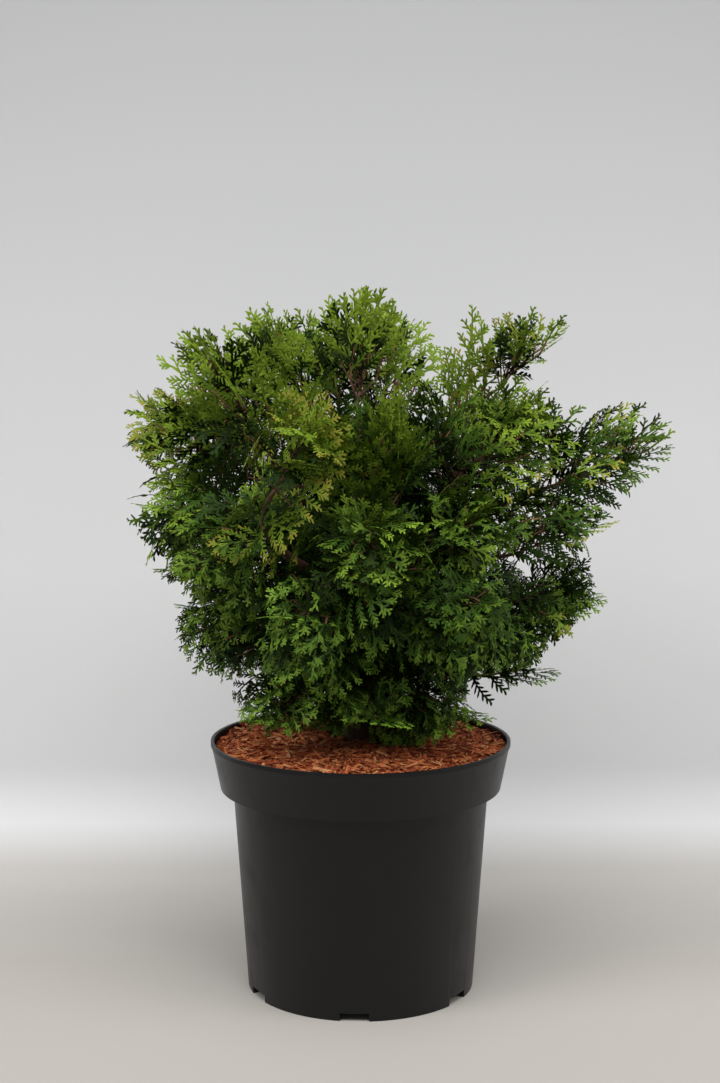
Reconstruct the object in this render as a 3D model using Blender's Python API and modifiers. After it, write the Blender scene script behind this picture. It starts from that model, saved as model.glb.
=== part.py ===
"""A young dwarf hinoki cypress in a round nursery pot.

Units are metres and +Z is up. The pot stands on the ground plane with its axis on the Z axis.
The trunk climbs through the whole crown. Boughs leave it low down and curve up and out, and each
carries one mass of foliage: a stem, a smaller spiky core of dense inner growth, and side twigs
that turn round the stem by the golden angle, each with a flat toothed spray. Every mass keeps to
its own cell of space, clear of the limbs and of its neighbours.
"""

import math
import random
from collections import namedtuple

import bmesh
import bpy
from mathutils import Matrix, Vector
from mathutils.bvhtree import BVHTree
from mathutils.geometry import interpolate_bezier

PLANT_NAME = "dwarf_hinoki_cypress"
GAP = 0.0003
WELD = 0.00001

# Pot: a thin turned shell with a collar band, a raised floor and a notched foot ring
POT_HEIGHT = 0.207
RIM_RADIUS = 0.1237
BAND_DEPTH = 0.039
BAND_FOOT_RADIUS = 0.1158
WALL_TOP_RADIUS = 0.1055
BASE_RADIUS = 0.0938
WALL = 0.0018
LIP_DEPTH = 0.0035
LIP_STEP = 0.0010
FOOT_RING_WIDTH = 0.0032
FOOT_RING_HEIGHT = 0.0075
FLOOR_THICKNESS = 0.0020
PAD_RADIUS = 0.024
POT_SEGMENTS = 40
NOTCH_COUNT = 6
NOTCH_WIDTH = 0.0232
NOTCH_HEIGHT = 0.0064
NOTCH_BEARING = 267
DRAIN_HOLE_RADIUS = 0.0045
DRAIN_RING_RADIUS = 0.079
DRAIN_SIDES = 8

# Filling: potting mix under a layer of shredded bark that rises a little round the trunk
MULCH_TOP = 0.2085
MULCH_EDGE = 0.2022
MULCH_FLAT_RADIUS = 0.030
MULCH_SHOULDER_RADIUS = 0.0866
MULCH_SHOULDER = 0.20615
MULCH_DEPTH = 0.015
MIX_SEGMENTS = 24
MULCH_SEGMENTS = 32

# Trunk: a flared foot, a slight lean and one slow bend
TRUNK_RADIUS = 0.0105
TRUNK_TIP_RADIUS = 0.0024
FLARE = 0.0060
FLARE_HEIGHT = 0.014
TRUNK_LEAN = (0.006, -0.004)
TRUNK_BEND = 0.007
TRUNK_TAPER = 0.9
TRUNK_POINTS = 10
TRUNK_SIDES = 10
STRAIGHT_FOOT = 0.125
RINGS_TO_FOOT = 1.5

# Boughs
BOUGH_RADIUS = 0.0044
BOUGH_TIP_RADIUS = 0.0019
BOUGH_SHARE_OF_TRUNK = 0.62
BOUGH_SLOPE = 0.9
BOUGH_RISE = 0.55
BOUGH_HANDLE_OUT = 0.42
BOUGH_HANDLE_IN = 0.34
BOUGH_POINTS = 5
BOUGH_SIDES = 6
BOUGH_END = 0.006
LOWEST_BOUGH = 0.052
HIGHEST_BOUGH = 0.022
SHORTEST_BOUGH = 0.040
LEVEL_CLIMB = 20
BOUGH_SPACING = 0.0115
SAME_SIDE = math.radians(68)

# Foliage: a stem, a core, and twigs that each end in a flat toothed spray
STEM_TIP_RADIUS = 0.0006
STEM_SIDES = 4
TWIG_RADIUS = 0.0014
TWIG_TIP_RADIUS = 0.0005
TWIG_SIDES = 3
SPRAY_SUNK = 0.003
SIDE_SPRAYS = 5
FIRST_SPRAY_AT = 0.25
LAST_SPRAY_AT = 0.88
GOLDEN_ANGLE = math.radians(137.5)
OPENING_AT_FOOT = math.radians(74)
OPENING_AT_TIP = math.radians(34)
SPRAY_LENGTH = 0.066
SPRAY_SHARE_OF_REACH = 0.82
SPRAY_TEETH = ((0.55, 0.40), (0.85, 0.25))
SPRAY_NOTCHES = ((0.60, 0.21), (0.81, 0.09))
SPRAY_THICKNESS = 0.0022
SPRAY_CUP = 0.05
SPRAY_MIDDLE = 0.42
SPRAY_SIDE_FACING = 0.25
TOP_SPRAY_SHARE = 0.4
SMALLER = (1.0, 0.85, 0.7, 0.55)
ROLLS = (0, 40, -40, 80)
CORE_VALLEY = 0.52
CORE_SPIKE = (0.704, 0.88)
CORE_SPIKES = 20
CORE_SHRINKS = (1.0, 0.9, 0.8, 0.7, 0.6, 0.5, 0.4)
CORE_LEAN = 0.35
CORE_INSIDE = 0.94
CORE_SHIFTS = (0, 0.12, 0.24, -0.12)
TIP_INSIDE = 0.003
CELL_MARGIN = 0.0003
LIMB_CLEARANCE = 0.0010
LIMB_SAMPLE = 0.003
NEAR_LIMBS = 0.020
ABOVE_MULCH = 0.001
SHADED_BELOW = 0.335
SUNLIT = ("front_left", "left_shoulder")

# Each mass: the bearing and the distance from the pot's axis of its furthest tip, and the tip's
# height; the climb of its stem above level; its stem's length; the radius of the ball of space
# round it; and how far its stem turns aside from the bearing. Bearings run anticlockwise from
# the right, so 270 is the front.
Mass = namedtuple("Mass", "name bearing reach height climb stem spread turn")
MASSES = (
    Mass("top_centre", 0, 0.004, 0.569, 86, 0.100, 0.058, 0),
    Mass("top_back_left", 113, 0.076, 0.556, 68, 0.105, 0.062, 0),
    Mass("top_left", 180, 0.079, 0.554, 66, 0.115, 0.066, 0),
    Mass("back_top", 76, 0.124, 0.553, 62, 0.120, 0.072, 0),
    Mass("upper_right", 10, 0.171, 0.544, 40, 0.130, 0.064, 0),
    Mass("upper_left", 189, 0.134, 0.538, 58, 0.120, 0.070, 0),
    Mass("front_upright", 282, 0.092, 0.486, 72, 0.110, 0.068, 0),
    Mass("front_left", 260, 0.148, 0.490, 48, 0.100, 0.070, 50),
    Mass("right_centre", 348, 0.149, 0.491, 44, 0.120, 0.070, 0),
    Mass("left_shoulder", 166, 0.192, 0.485, 38, 0.120, 0.066, 0),
    Mass("back_right", 48, 0.195, 0.475, 38, 0.130, 0.076, 0),
    Mass("back_left", 135, 0.185, 0.470, 38, 0.130, 0.076, 0),
    Mass("right", 0, 0.249, 0.450, 20, 0.130, 0.070, 0),
    Mass("back", 92, 0.195, 0.420, 22, 0.130, 0.074, 0),
    Mass("front_centre", 273, 0.170, 0.415, 40, 0.120, 0.070, 0),
    Mass("front_inner_right", 312, 0.150, 0.412, 32, 0.110, 0.066, 0),
    Mass("left", 186, 0.181, 0.406, 14, 0.120, 0.070, 0),
    Mass("right_front", 338, 0.210, 0.397, 20, 0.125, 0.070, 0),
    Mass("left_front", 209, 0.178, 0.362, 8, 0.115, 0.074, 0),
    Mass("front_right", 304, 0.182, 0.345, 12, 0.120, 0.070, 0),
    Mass("front_low", 252, 0.165, 0.335, 8, 0.120, 0.072, 0),
    Mass("right_low", 354, 0.197, 0.332, 8, 0.125, 0.072, 0),
    Mass("low_left", 181, 0.151, 0.321, 14, 0.125, 0.074, 0),
    Mass("low_back_left", 138, 0.160, 0.312, 14, 0.125, 0.076, 0),
    Mass("low_back_right", 40, 0.165, 0.300, 12, 0.125, 0.076, 0),
    Mass("low_back", 92, 0.155, 0.262, 4, 0.125, 0.072, 0),
    Mass("low_right", 2, 0.161, 0.266, 6, 0.125, 0.070, 0),
    Mass("low_front", 276, 0.131, 0.250, 4, 0.110, 0.066, 0),
    Mass("low_front_left", 226, 0.122, 0.246, 3, 0.105, 0.064, 0),
    Mass("low_front_right", 326, 0.122, 0.240, 1, 0.105, 0.060, 0),
)

# Colours are linear, from the daylight look of each part
LOOKS = {
    "pot_plastic": ((0.017, 0.017, 0.017), 0.48),
    "potting_mix": ((0.020, 0.012, 0.008), 0.95),
    "shredded_bark": ((0.110, 0.030, 0.010), 0.90),
    "bark": ((0.100, 0.032, 0.014), 0.85),
    "foliage_deep": ((0.012, 0.040, 0.006), 0.62),
    "foliage_mid": ((0.028, 0.075, 0.010), 0.60),
    "foliage_bright": ((0.060, 0.110, 0.014), 0.58),
}


def clear_scene():
    for obj in list(bpy.data.objects):
        bpy.data.objects.remove(obj)


def new_collection(name):
    collection = bpy.data.collections.new(name)
    bpy.context.scene.collection.children.link(collection)
    return collection


def make_material(name):
    colour, roughness = LOOKS[name]
    material = bpy.data.materials.new(name)
    material.use_nodes = True
    shader = material.node_tree.nodes["Principled BSDF"]
    shader.inputs["Base Color"].default_value = (*colour, 1)
    shader.inputs["Roughness"].default_value = roughness
    shader.inputs["Metallic"].default_value = 0
    material.diffuse_color = (*colour, 1)
    return material


def add_object(name, data, collection, material=None):
    obj = bpy.data.objects.new(name, data)
    collection.objects.link(obj)
    if material:
        data.materials.append(material)
    return obj


def evaluated_mesh(obj):
    bpy.context.view_layer.update()
    graph = bpy.context.evaluated_depsgraph_get()
    return bpy.data.meshes.new_from_object(obj.evaluated_get(graph))


def hide_helper(obj):
    obj.hide_render = True
    obj.display_type = "WIRE"


# Turned parts
def turned(name, profile, segments, collection, material):
    """An object with a Screw modifier that turns the profile, from the axis back to the axis."""
    mesh = bpy.data.meshes.new(name)
    points = [(radius, 0, height) for radius, height in profile]
    edges = [(i, i + 1) for i in range(len(points) - 1)]
    mesh.from_pydata(points, edges, [])
    obj = add_object(name, mesh, collection, material)
    screw = obj.modifiers.new("turn", "SCREW")
    screw.steps = segments
    screw.render_steps = segments
    screw.use_merge_vertices = True
    screw.merge_threshold = WELD
    screw.use_smooth_shade = False
    return obj


def inner_wall_radius(height):
    """The inside radius of the pot's plain wall at this height, under the band."""
    share = (height - FOOT_RING_HEIGHT) / (POT_HEIGHT - BAND_DEPTH - FOOT_RING_HEIGHT)
    return BASE_RADIUS + (WALL_TOP_RADIUS - BASE_RADIUS) * share - WALL


def inner_band_radius(height):
    share = (height - POT_HEIGHT + BAND_DEPTH) / BAND_DEPTH
    return BAND_FOOT_RADIUS + (RIM_RADIUS - LIP_STEP - BAND_FOOT_RADIUS) * share - WALL


def pot_profile():
    band_foot = POT_HEIGHT - BAND_DEPTH
    inner_floor = FOOT_RING_HEIGHT + FLOOR_THICKNESS
    ring_inner = BASE_RADIUS - FOOT_RING_WIDTH
    return [
        (0, inner_floor),
        (inner_wall_radius(inner_floor), inner_floor),
        (inner_wall_radius(band_foot), band_foot + WALL),
        (inner_band_radius(band_foot), band_foot + WALL),
        (inner_band_radius(POT_HEIGHT), POT_HEIGHT),
        (RIM_RADIUS, POT_HEIGHT),
        (RIM_RADIUS, POT_HEIGHT - LIP_DEPTH),
        (RIM_RADIUS - LIP_STEP, POT_HEIGHT - LIP_DEPTH - LIP_STEP),
        (BAND_FOOT_RADIUS, band_foot),
        (WALL_TOP_RADIUS, band_foot),
        (BASE_RADIUS, 0),
        (ring_inner, 0),
        (ring_inner, FOOT_RING_HEIGHT),
        (PAD_RADIUS, FOOT_RING_HEIGHT),
        (PAD_RADIUS, 0),
        (0, 0),
    ]


def box_cutter(name, size, place, collection):
    mesh = bpy.data.meshes.new(name)
    shape = bmesh.new()
    bmesh.ops.create_cube(shape, size=1, matrix=place @ Matrix.Diagonal((*size, 1)))
    shape.to_mesh(mesh)
    shape.free()
    return add_object(name, mesh, collection)


def drain_cutter(name, place, collection):
    mesh = bpy.data.meshes.new(name)
    shape = bmesh.new()
    bmesh.ops.create_cone(
        shape,
        cap_ends=True,
        segments=DRAIN_SIDES,
        radius1=DRAIN_HOLE_RADIUS,
        radius2=DRAIN_HOLE_RADIUS,
        depth=4 * FLOOR_THICKNESS,
        matrix=place,
    )
    shape.to_mesh(mesh)
    shape.free()
    return add_object(name, mesh, collection)


def make_pot(collection, cutters, material):
    pot = turned("pot", pot_profile(), POT_SEGMENTS, collection, material)
    ring_middle = BASE_RADIUS - FOOT_RING_WIDTH / 2
    for i in range(NOTCH_COUNT):
        bearing = math.radians(NOTCH_BEARING + 360 / NOTCH_COUNT * i)
        turn = Matrix.Rotation(bearing, 4, "Z")
        notch = box_cutter(
            f"notch_cutter_{i + 1}",
            (4 * FOOT_RING_WIDTH, NOTCH_WIDTH, 2 * NOTCH_HEIGHT),
            turn @ Matrix.Translation((ring_middle, 0, 0)),
            cutters,
        )
        drain = drain_cutter(
            f"drain_cutter_{i + 1}",
            turn @ Matrix.Translation((DRAIN_RING_RADIUS, 0, FOOT_RING_HEIGHT)),
            cutters,
        )
        for cutter in (notch, drain):
            hide_helper(cutter)
            cut = pot.modifiers.new(cutter.name, "BOOLEAN")
            cut.operation = "DIFFERENCE"
            cut.object = cutter


def make_filling(collection, mix_material, mulch_material):
    band_foot = POT_HEIGHT - BAND_DEPTH + WALL
    inner_floor = FOOT_RING_HEIGHT + FLOOR_THICKNESS
    mix_top = MULCH_EDGE - MULCH_DEPTH
    clear = 2 * GAP
    mix_profile = [
        (0, mix_top),
        (inner_band_radius(mix_top) - clear, mix_top),
        (inner_band_radius(band_foot) - clear, band_foot + GAP),
        (inner_wall_radius(band_foot) - clear, band_foot + GAP),
        (inner_wall_radius(inner_floor) - clear, inner_floor + GAP),
        (0, inner_floor + GAP),
    ]
    mulch_foot = mix_top + GAP
    mulch_profile = [
        (0, MULCH_TOP),
        (MULCH_FLAT_RADIUS, MULCH_TOP),
        (MULCH_SHOULDER_RADIUS, MULCH_SHOULDER),
        (inner_band_radius(MULCH_EDGE) - clear, MULCH_EDGE),
        (inner_band_radius(mulch_foot) - clear, mulch_foot),
        (0, mulch_foot),
    ]
    turned("potting_mix", mix_profile, MIX_SEGMENTS, collection, mix_material)
    turned("bark_mulch", mulch_profile, MULCH_SEGMENTS, collection, mulch_material)


# Limbs
def limb(name, points, radii, sides, collection, material=None):
    """A mesh object for one tapering limb, with flat ends, through the points."""
    depth = 0.001
    data = bpy.data.curves.new(name, "CURVE")
    data.dimensions = "3D"
    data.bevel_depth = depth
    data.bevel_resolution = (sides - 4) // 2
    data.use_fill_caps = True
    spline = data.splines.new("POLY")
    spline.points.add(len(points) - 1)
    for knot, point, radius in zip(spline.points, points, radii):
        knot.co = (*point, 1)
        knot.radius = radius / depth
    curve = add_object(name + "_route", data, collection)
    mesh = evaluated_mesh(curve)
    bpy.data.objects.remove(curve)
    shape = bmesh.new()
    shape.from_mesh(mesh)
    bmesh.ops.remove_doubles(shape, verts=shape.verts, dist=WELD)
    bmesh.ops.recalc_face_normals(shape, faces=shape.faces)
    shape.to_mesh(mesh)
    shape.free()
    mesh.materials.clear()
    return add_object(name, mesh, collection, material)


def growth_direction(mass):
    climb = math.radians(mass.climb)
    heading = math.radians(mass.bearing + mass.turn)
    level = math.cos(climb)
    return Vector((level * math.cos(heading), level * math.sin(heading), math.sin(climb)))


def furthest_tip(mass):
    bearing = math.radians(mass.bearing)
    return Vector((mass.reach * math.cos(bearing), mass.reach * math.sin(bearing), mass.height))


def stem_foot(mass):
    return furthest_tip(mass) - mass.stem * growth_direction(mass)


def trunk_top():
    return stem_foot(MASSES[0]).z


def trunk_axis(height):
    """The middle of the trunk at this height."""
    share = (height - MULCH_TOP) / (trunk_top() - MULCH_TOP)
    top = stem_foot(MASSES[0])
    bend = TRUNK_BEND * math.sin(math.pi * share) * math.sin(2 * math.pi * share)
    lean_x = (TRUNK_LEAN[0] + bend) * math.sin(math.pi * share) + top.x * share
    lean_y = TRUNK_LEAN[1] * math.sin(math.pi * share) + top.y * share
    settle = min(1, share / STRAIGHT_FOOT)
    return Vector((lean_x * settle, lean_y * settle, height))


def trunk_radius(height):
    share = (height - MULCH_TOP) / (trunk_top() - MULCH_TOP)
    flare = FLARE * math.exp(-(height - MULCH_TOP) / FLARE_HEIGHT)
    taper = (TRUNK_RADIUS - TRUNK_TIP_RADIUS) * (1 - share) ** TRUNK_TAPER
    return TRUNK_TIP_RADIUS + taper + flare


def trunk_heights():
    """Heights of the trunk's rings, closer together in the flare."""
    foot = MULCH_TOP + GAP
    shares = [(i / (TRUNK_POINTS - 1)) ** RINGS_TO_FOOT for i in range(TRUNK_POINTS)]
    return [foot + (trunk_top() - GAP - foot) * share for share in shares]


def make_trunk(collection, cutters, material):
    """The trunk. It returns the shape that keeps boughs clear of it, and its knots."""
    heights = trunk_heights()
    points = [trunk_axis(height) for height in heights]
    points[0].xy = points[1].xy
    radii = [trunk_radius(height) for height in heights]
    limb("trunk", points, radii, TRUNK_SIDES, collection, material)
    wider = [radius + GAP for radius in radii]
    cutter = limb("trunk_clearance", points, wider, TRUNK_SIDES, cutters)
    hide_helper(cutter)
    return cutter, list(zip(points, radii))


def has_bough(mass):
    """The top mass grows on from the trunk's tip, and low ones grow level from its side."""
    level_and_near = mass.climb < LEVEL_CLIMB and stem_foot(mass).xy.length < SHORTEST_BOUGH
    return mass is not MASSES[0] and not level_and_near


def wanted_height(mass):
    """Where a bough would leave the trunk if it had its side of it to itself."""
    end = stem_foot(mass)
    lowest = MULCH_TOP + LOWEST_BOUGH
    highest = trunk_top() - HIGHEST_BOUGH
    return min(max(end.z - BOUGH_SLOPE * end.xy.length, lowest), highest)


def bough_heights():
    """Where each bough leaves the trunk. Boughs on one side of it keep apart."""
    heights = {}
    for mass in sorted(filter(has_bough, MASSES), key=wanted_height):
        height = wanted_height(mass)
        direction = stem_foot(mass).xy
        rivals = [
            other_height
            for other, other_height in heights.items()
            if direction.angle(stem_foot(other).xy) < SAME_SIDE
        ]
        while any(abs(height - rival) < BOUGH_SPACING for rival in rivals):
            height += BOUGH_SPACING / 10
        heights[mass] = height
    return heights


def bough_route(mass, start_height):
    """Points along a bough from inside the trunk to the foot of its mass's stem. It leaves the
    trunk outwards and ends in line with the stem."""
    start = trunk_axis(start_height)
    end = stem_foot(mass)
    straight = end - growth_direction(mass) * BOUGH_END
    span = (straight - start).length
    outward = Vector((end.x - start.x, end.y - start.y, 0)).normalized()
    leave = (outward + Vector((0, 0, BOUGH_RISE))).normalized()
    handle_out = start + leave * span * BOUGH_HANDLE_OUT
    handle_in = straight - growth_direction(mass) * span * BOUGH_HANDLE_IN
    return interpolate_bezier(start, handle_out, handle_in, straight, BOUGH_POINTS) + [end]


def cut_clear(obj, cutter):
    """Takes the cutter's shape out of the object's mesh, and keeps the largest piece."""
    cut = obj.modifiers.new("clearance", "BOOLEAN")
    cut.operation = "DIFFERENCE"
    cut.object = cutter
    mesh = evaluated_mesh(obj)
    obj.modifiers.clear()
    keep_largest_body(mesh)
    obj.data = mesh


def make_bough(mass, start_height, collection, cutter, material):
    points = bough_route(mass, start_height)
    first = min(BOUGH_RADIUS, BOUGH_SHARE_OF_TRUNK * trunk_radius(points[0].z))
    step = (first - BOUGH_TIP_RADIUS) / (len(points) - 1)
    radii = [first - step * i for i in range(len(points))]
    bough = limb("bough_" + mass.name, points, radii, BOUGH_SIDES, collection, material)
    cut_clear(bough, cutter)
    return list(zip(points, radii))


# Spaces
def space_of(mass):
    """The middle and the radius of the ball that a mass fills. Its tip is just inside."""
    middle = furthest_tip(mass) - (mass.spread - TIP_INSIDE) * growth_direction(mass)
    return middle, mass.spread


def borders(mass):
    """The planes that part a mass from its neighbours, as points and outward normals."""
    centre, radius = space_of(mass)
    planes = [(Vector((0, 0, MULCH_TOP + ABOVE_MULCH)), Vector((0, 0, -1)))]
    for other in MASSES:
        middle, size = space_of(other)
        apart = middle - centre
        if other is mass or apart.length > radius + size:
            continue
        share = (apart.length_squared + radius**2 - size**2) / (2 * apart.length_squared)
        normal = apart.normalized()
        planes.append((centre + apart * share - normal * CELL_MARGIN, normal))
    return planes


def limb_samples(limbs):
    """Points every few millimetres along the limbs, each with its radius."""
    found = []
    for knots in limbs:
        for (start, first), (end, last) in zip(knots, knots[1:]):
            count = max(1, round((end - start).length / LIMB_SAMPLE))
            for i in range(count + 1):
                share = i / count
                found.append((start.lerp(end, share), first + (last - first) * share))
    return found


def near_samples(samples, mass):
    centre, radius = space_of(mass)
    reach = radius + NEAR_LIMBS
    return [sample for sample in samples if (sample[0] - centre).length < reach]


# Foliage shapes
def frame_along(direction, up):
    """A rotation whose X axis is the direction and whose Z axis is as near up as can be."""
    side = up.cross(direction).normalized()
    normal = direction.cross(side)
    return Matrix((direction, side, normal)).transposed().to_4x4()


def twig_shape(start, end, first, last, sides):
    shape = bmesh.new()
    run = end - start
    turn = run.to_track_quat("Z", "Y").to_matrix().to_4x4()
    bmesh.ops.create_cone(
        shape,
        cap_ends=True,
        segments=sides,
        radius1=first,
        radius2=last,
        depth=run.length,
        matrix=Matrix.Translation((start + end) / 2) @ turn,
    )
    return shape


def spray_outline(length):
    """One side of a spray: its forward teeth, each with the notch after it."""
    points = []
    for tooth, notch in zip(SPRAY_TEETH, SPRAY_NOTCHES):
        points.append((tooth[0] * length, tooth[1] * length))
        points.append((notch[0] * length, notch[1] * length))
    return points


def spray_shape(root, direction, up, length):
    """A thin cupped blade with a toothed edge. It is a double fan of triangles round two middle
    points, closed along a short upright edge at its root."""
    side = spray_outline(length)
    rim = side + [(length, 0)] + [(along, -across) for along, across in reversed(side)]
    thick = SPRAY_THICKNESS / 2
    cup = SPRAY_CUP * length
    shape = bmesh.new()
    edge = [shape.verts.new((along, across, 0)) for along, across in rim]
    upper_root = shape.verts.new((0, 0, thick / 2))
    lower_root = shape.verts.new((0, 0, -thick / 2))
    upper = shape.verts.new((SPRAY_MIDDLE * length, 0, cup + thick))
    lower = shape.verts.new((SPRAY_MIDDLE * length, 0, cup - thick))
    for first, second in zip([upper_root] + edge, edge + [upper_root]):
        shape.faces.new((upper, second, first))
    for first, second in zip([lower_root] + edge, edge + [lower_root]):
        shape.faces.new((lower, first, second))
    shape.faces.new((upper_root, edge[0], lower_root))
    shape.faces.new((lower_root, edge[-1], upper_root))
    shape.transform(Matrix.Translation(root) @ frame_along(direction, up))
    bmesh.ops.recalc_face_normals(shape, faces=shape.faces)
    return shape


class Growth:
    """The shapes of one mass as they are accepted, and the tests that a new one has to pass."""

    def __init__(self, mass, samples):
        self.centre, self.radius = space_of(mass)
        self.planes = borders(mass)
        self.samples = near_samples(samples, mass)
        self.shapes = []
        self.sprays = []

    def room(self, start, direction):
        """How far a straight line from the start runs before it leaves the space."""
        across = start - self.centre
        along = across.dot(direction)
        inner = along**2 - across.length_squared + self.radius**2
        reach = -along + math.sqrt(max(inner, 0))
        for point, normal in self.planes:
            closing = direction.dot(normal)
            if closing > 0:
                reach = min(reach, (point - start).dot(normal) / closing)
        return max(reach, 0)

    def inside(self, points):
        if any((point - self.centre).length > self.radius for point in points):
            return False
        return not any(
            (point - border).dot(normal) > 0
            for border, normal in self.planes
            for point in points
        )

    def clear_of_limbs(self, tree):
        return all(
            tree.find_nearest(point, radius + LIMB_CLEARANCE)[0] is None
            for point, radius in self.samples
        )

    def accept(self, shape, crossing=()):
        """Keeps the shape if it stays in its space, clear of the limbs and of those given."""
        tree = BVHTree.FromBMesh(shape)
        fits = self.inside([vert.co for vert in shape.verts]) and self.clear_of_limbs(tree)
        if not fits or any(tree.overlap(other) for other in crossing):
            shape.free()
            return None
        self.shapes.append(shape)
        return tree

    def add_spray(self, root, direction, facing, length):
        """Tries the spray at smaller sizes and other rolls until one fits."""
        for smaller in SMALLER:
            for roll in ROLLS:
                up = Matrix.Rotation(math.radians(roll), 3, direction) @ facing
                shape = spray_shape(root, direction, up, length * smaller)
                tree = self.accept(shape, self.sprays)
                if tree:
                    self.sprays.append(tree)
                    return True
        return False

    def add_core(self, direction, rng):
        """The dense inner growth: a ball with a spike on each face, leaning the growing way."""
        spikes = [rng.uniform(*CORE_SPIKE) for _ in range(CORE_SPIKES)]
        for shrink in CORE_SHRINKS:
            for shift in CORE_SHIFTS:
                middle = self.centre + direction * shift * self.radius
                if self.accept(self.core_shape(middle, direction, spikes, shrink)):
                    return

    def core_shape(self, middle, direction, spikes, shrink):
        shape = bmesh.new()
        bmesh.ops.create_icosphere(shape, subdivisions=1, radius=1)
        tips = bmesh.ops.poke(shape, faces=shape.faces)["verts"]
        sizes = dict(zip(tips, spikes))
        for vert in shape.verts:
            lean = direction * (CORE_LEAN if vert in sizes else 0)
            way = (vert.co.normalized() + lean).normalized()
            wanted = sizes.get(vert, CORE_VALLEY) * self.radius
            reach = min(wanted, CORE_INSIDE * self.room(middle, way))
            vert.co = middle + way * reach * shrink
        return shape


def spray_facing(direction, rng):
    """Sprays lie level on level shoots, and face any way round on upright ones."""
    around = rng.uniform(0, 2 * math.pi)
    aside = Vector((math.cos(around), math.sin(around), 0))
    steepness = direction.z**2
    up = Vector((0, 0, 1 - steepness)) + aside * (SPRAY_SIDE_FACING + steepness)
    return (up - direction * up.dot(direction)).normalized()


def stem_ends(mass):
    """The foot, the end and the direction of a mass's stem. It starts clear of the bough or
    trunk."""
    direction = growth_direction(mass)
    tip = furthest_tip(mass)
    if has_bough(mass) or mass is MASSES[0]:
        foot = stem_foot(mass) + direction * GAP
    else:
        level = math.hypot(direction.x, direction.y)
        height = mass.height - mass.reach / level * direction.z
        axis = trunk_axis(height)
        direction = (tip - axis).normalized()
        clear = trunk_radius(axis.z) + GAP + BOUGH_TIP_RADIUS * abs(direction.z)
        foot = axis + direction * clear
    return foot, tip - direction * TOP_SPRAY_SHARE * SPRAY_LENGTH, direction


def stem_knots(mass):
    foot, end, _ = stem_ends(mass)
    return [(foot, BOUGH_TIP_RADIUS), (end, STEM_TIP_RADIUS)]


def grow_mass(mass, samples):
    """The shapes of one mass: its stem, its core, and twigs with sprays in a spiral."""
    rng = random.Random(mass.name)
    foot, end, direction = stem_ends(mass)
    growth = Growth(mass, samples)
    stem = twig_shape(foot, end, BOUGH_TIP_RADIUS, STEM_TIP_RADIUS, STEM_SIDES)
    growth.add_core(direction, rng)
    top_root = end - direction * SPRAY_SUNK
    top_length = (furthest_tip(mass) - top_root).length
    growth.add_spray(top_root, direction, spray_facing(direction, rng), top_length)
    across = direction.orthogonal().normalized()
    start_turn = rng.uniform(0, 2 * math.pi)
    for i in range(SIDE_SPRAYS):
        share = FIRST_SPRAY_AT + (LAST_SPRAY_AT - FIRST_SPRAY_AT) * i / (SIDE_SPRAYS - 1)
        root = foot.lerp(end, share)
        outward = Matrix.Rotation(start_turn + GOLDEN_ANGLE * i, 3, direction) @ across
        opening = OPENING_AT_FOOT + (OPENING_AT_TIP - OPENING_AT_FOOT) * share
        heading = direction * math.cos(opening) + outward * math.sin(opening)
        reach = growth.room(root, heading)
        length = min(SPRAY_LENGTH, SPRAY_SHARE_OF_REACH * reach)
        spray_root = root + heading * (reach - length)
        facing = spray_facing(heading, rng)
        hidden = (spray_root - growth.centre).length < CORE_VALLEY * growth.radius
        if growth.add_spray(spray_root, heading, facing, length) and not hidden:
            twig_end = spray_root + heading * SPRAY_SUNK
            twig = twig_shape(root, twig_end, TWIG_RADIUS, TWIG_TIP_RADIUS, TWIG_SIDES)
            growth.accept(twig)
    return [stem] + growth.shapes


# Fusing
def body_volume(faces):
    return sum(face.verts[0].co.dot(face.normal) * face.calc_area() for face in faces) / 3


def keep_largest_body(mesh):
    """Drops loose scraps and the walls of sealed hollows, so that one body is left."""
    shape = bmesh.new()
    shape.from_mesh(mesh)
    waiting = set(shape.faces)
    bodies = []
    while waiting:
        body = []
        edge_of_body = [waiting.pop()]
        while edge_of_body:
            face = edge_of_body.pop()
            body.append(face)
            for edge in face.edges:
                for other in edge.link_faces:
                    if other in waiting:
                        waiting.remove(other)
                        edge_of_body.append(other)
        bodies.append(body)
    bodies.sort(key=body_volume)
    loose = [face for body in bodies[:-1] for face in body]
    bmesh.ops.delete(shape, geom=loose, context="FACES")
    shape.to_mesh(mesh)
    shape.free()


def is_closed(mesh):
    shape = bmesh.new()
    shape.from_mesh(mesh)
    closed = all(edge.is_manifold for edge in shape.edges)
    shape.free()
    return closed


def shape_object(name, shape, collection):
    bmesh.ops.triangulate(shape, faces=shape.faces)
    mesh = bpy.data.meshes.new(name)
    shape.to_mesh(mesh)
    shape.free()
    return add_object(name, mesh, collection)


def fuse(name, shapes, collection, material):
    """One object from all the shapes, by one union on a collection of the twigs and sprays."""
    helpers = new_collection(name + "_pieces")
    obj = shape_object(name, shapes[0], collection)
    for i, shape in enumerate(shapes[1:]):
        shape_object(f"{name}_piece_{i}", shape, helpers)
    union = obj.modifiers.new("union", "BOOLEAN")
    union.operation = "UNION"
    union.operand_type = "COLLECTION"
    union.collection = helpers
    for solver in ("EXACT", "MANIFOLD"):
        union.solver = solver
        mesh = evaluated_mesh(obj)
        keep_largest_body(mesh)
        if is_closed(mesh):
            break
    obj.modifiers.clear()
    for helper in list(helpers.objects):
        bpy.data.objects.remove(helper)
    bpy.data.collections.remove(helpers)
    mesh.materials.clear()
    mesh.materials.append(material)
    obj.data = mesh
    return obj


def foliage_look(mass):
    """Low masses are in shade, and two on the left catch the light."""
    if mass.height < SHADED_BELOW:
        return "foliage_deep"
    return "foliage_bright" if mass.name in SUNLIT else "foliage_mid"


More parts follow.
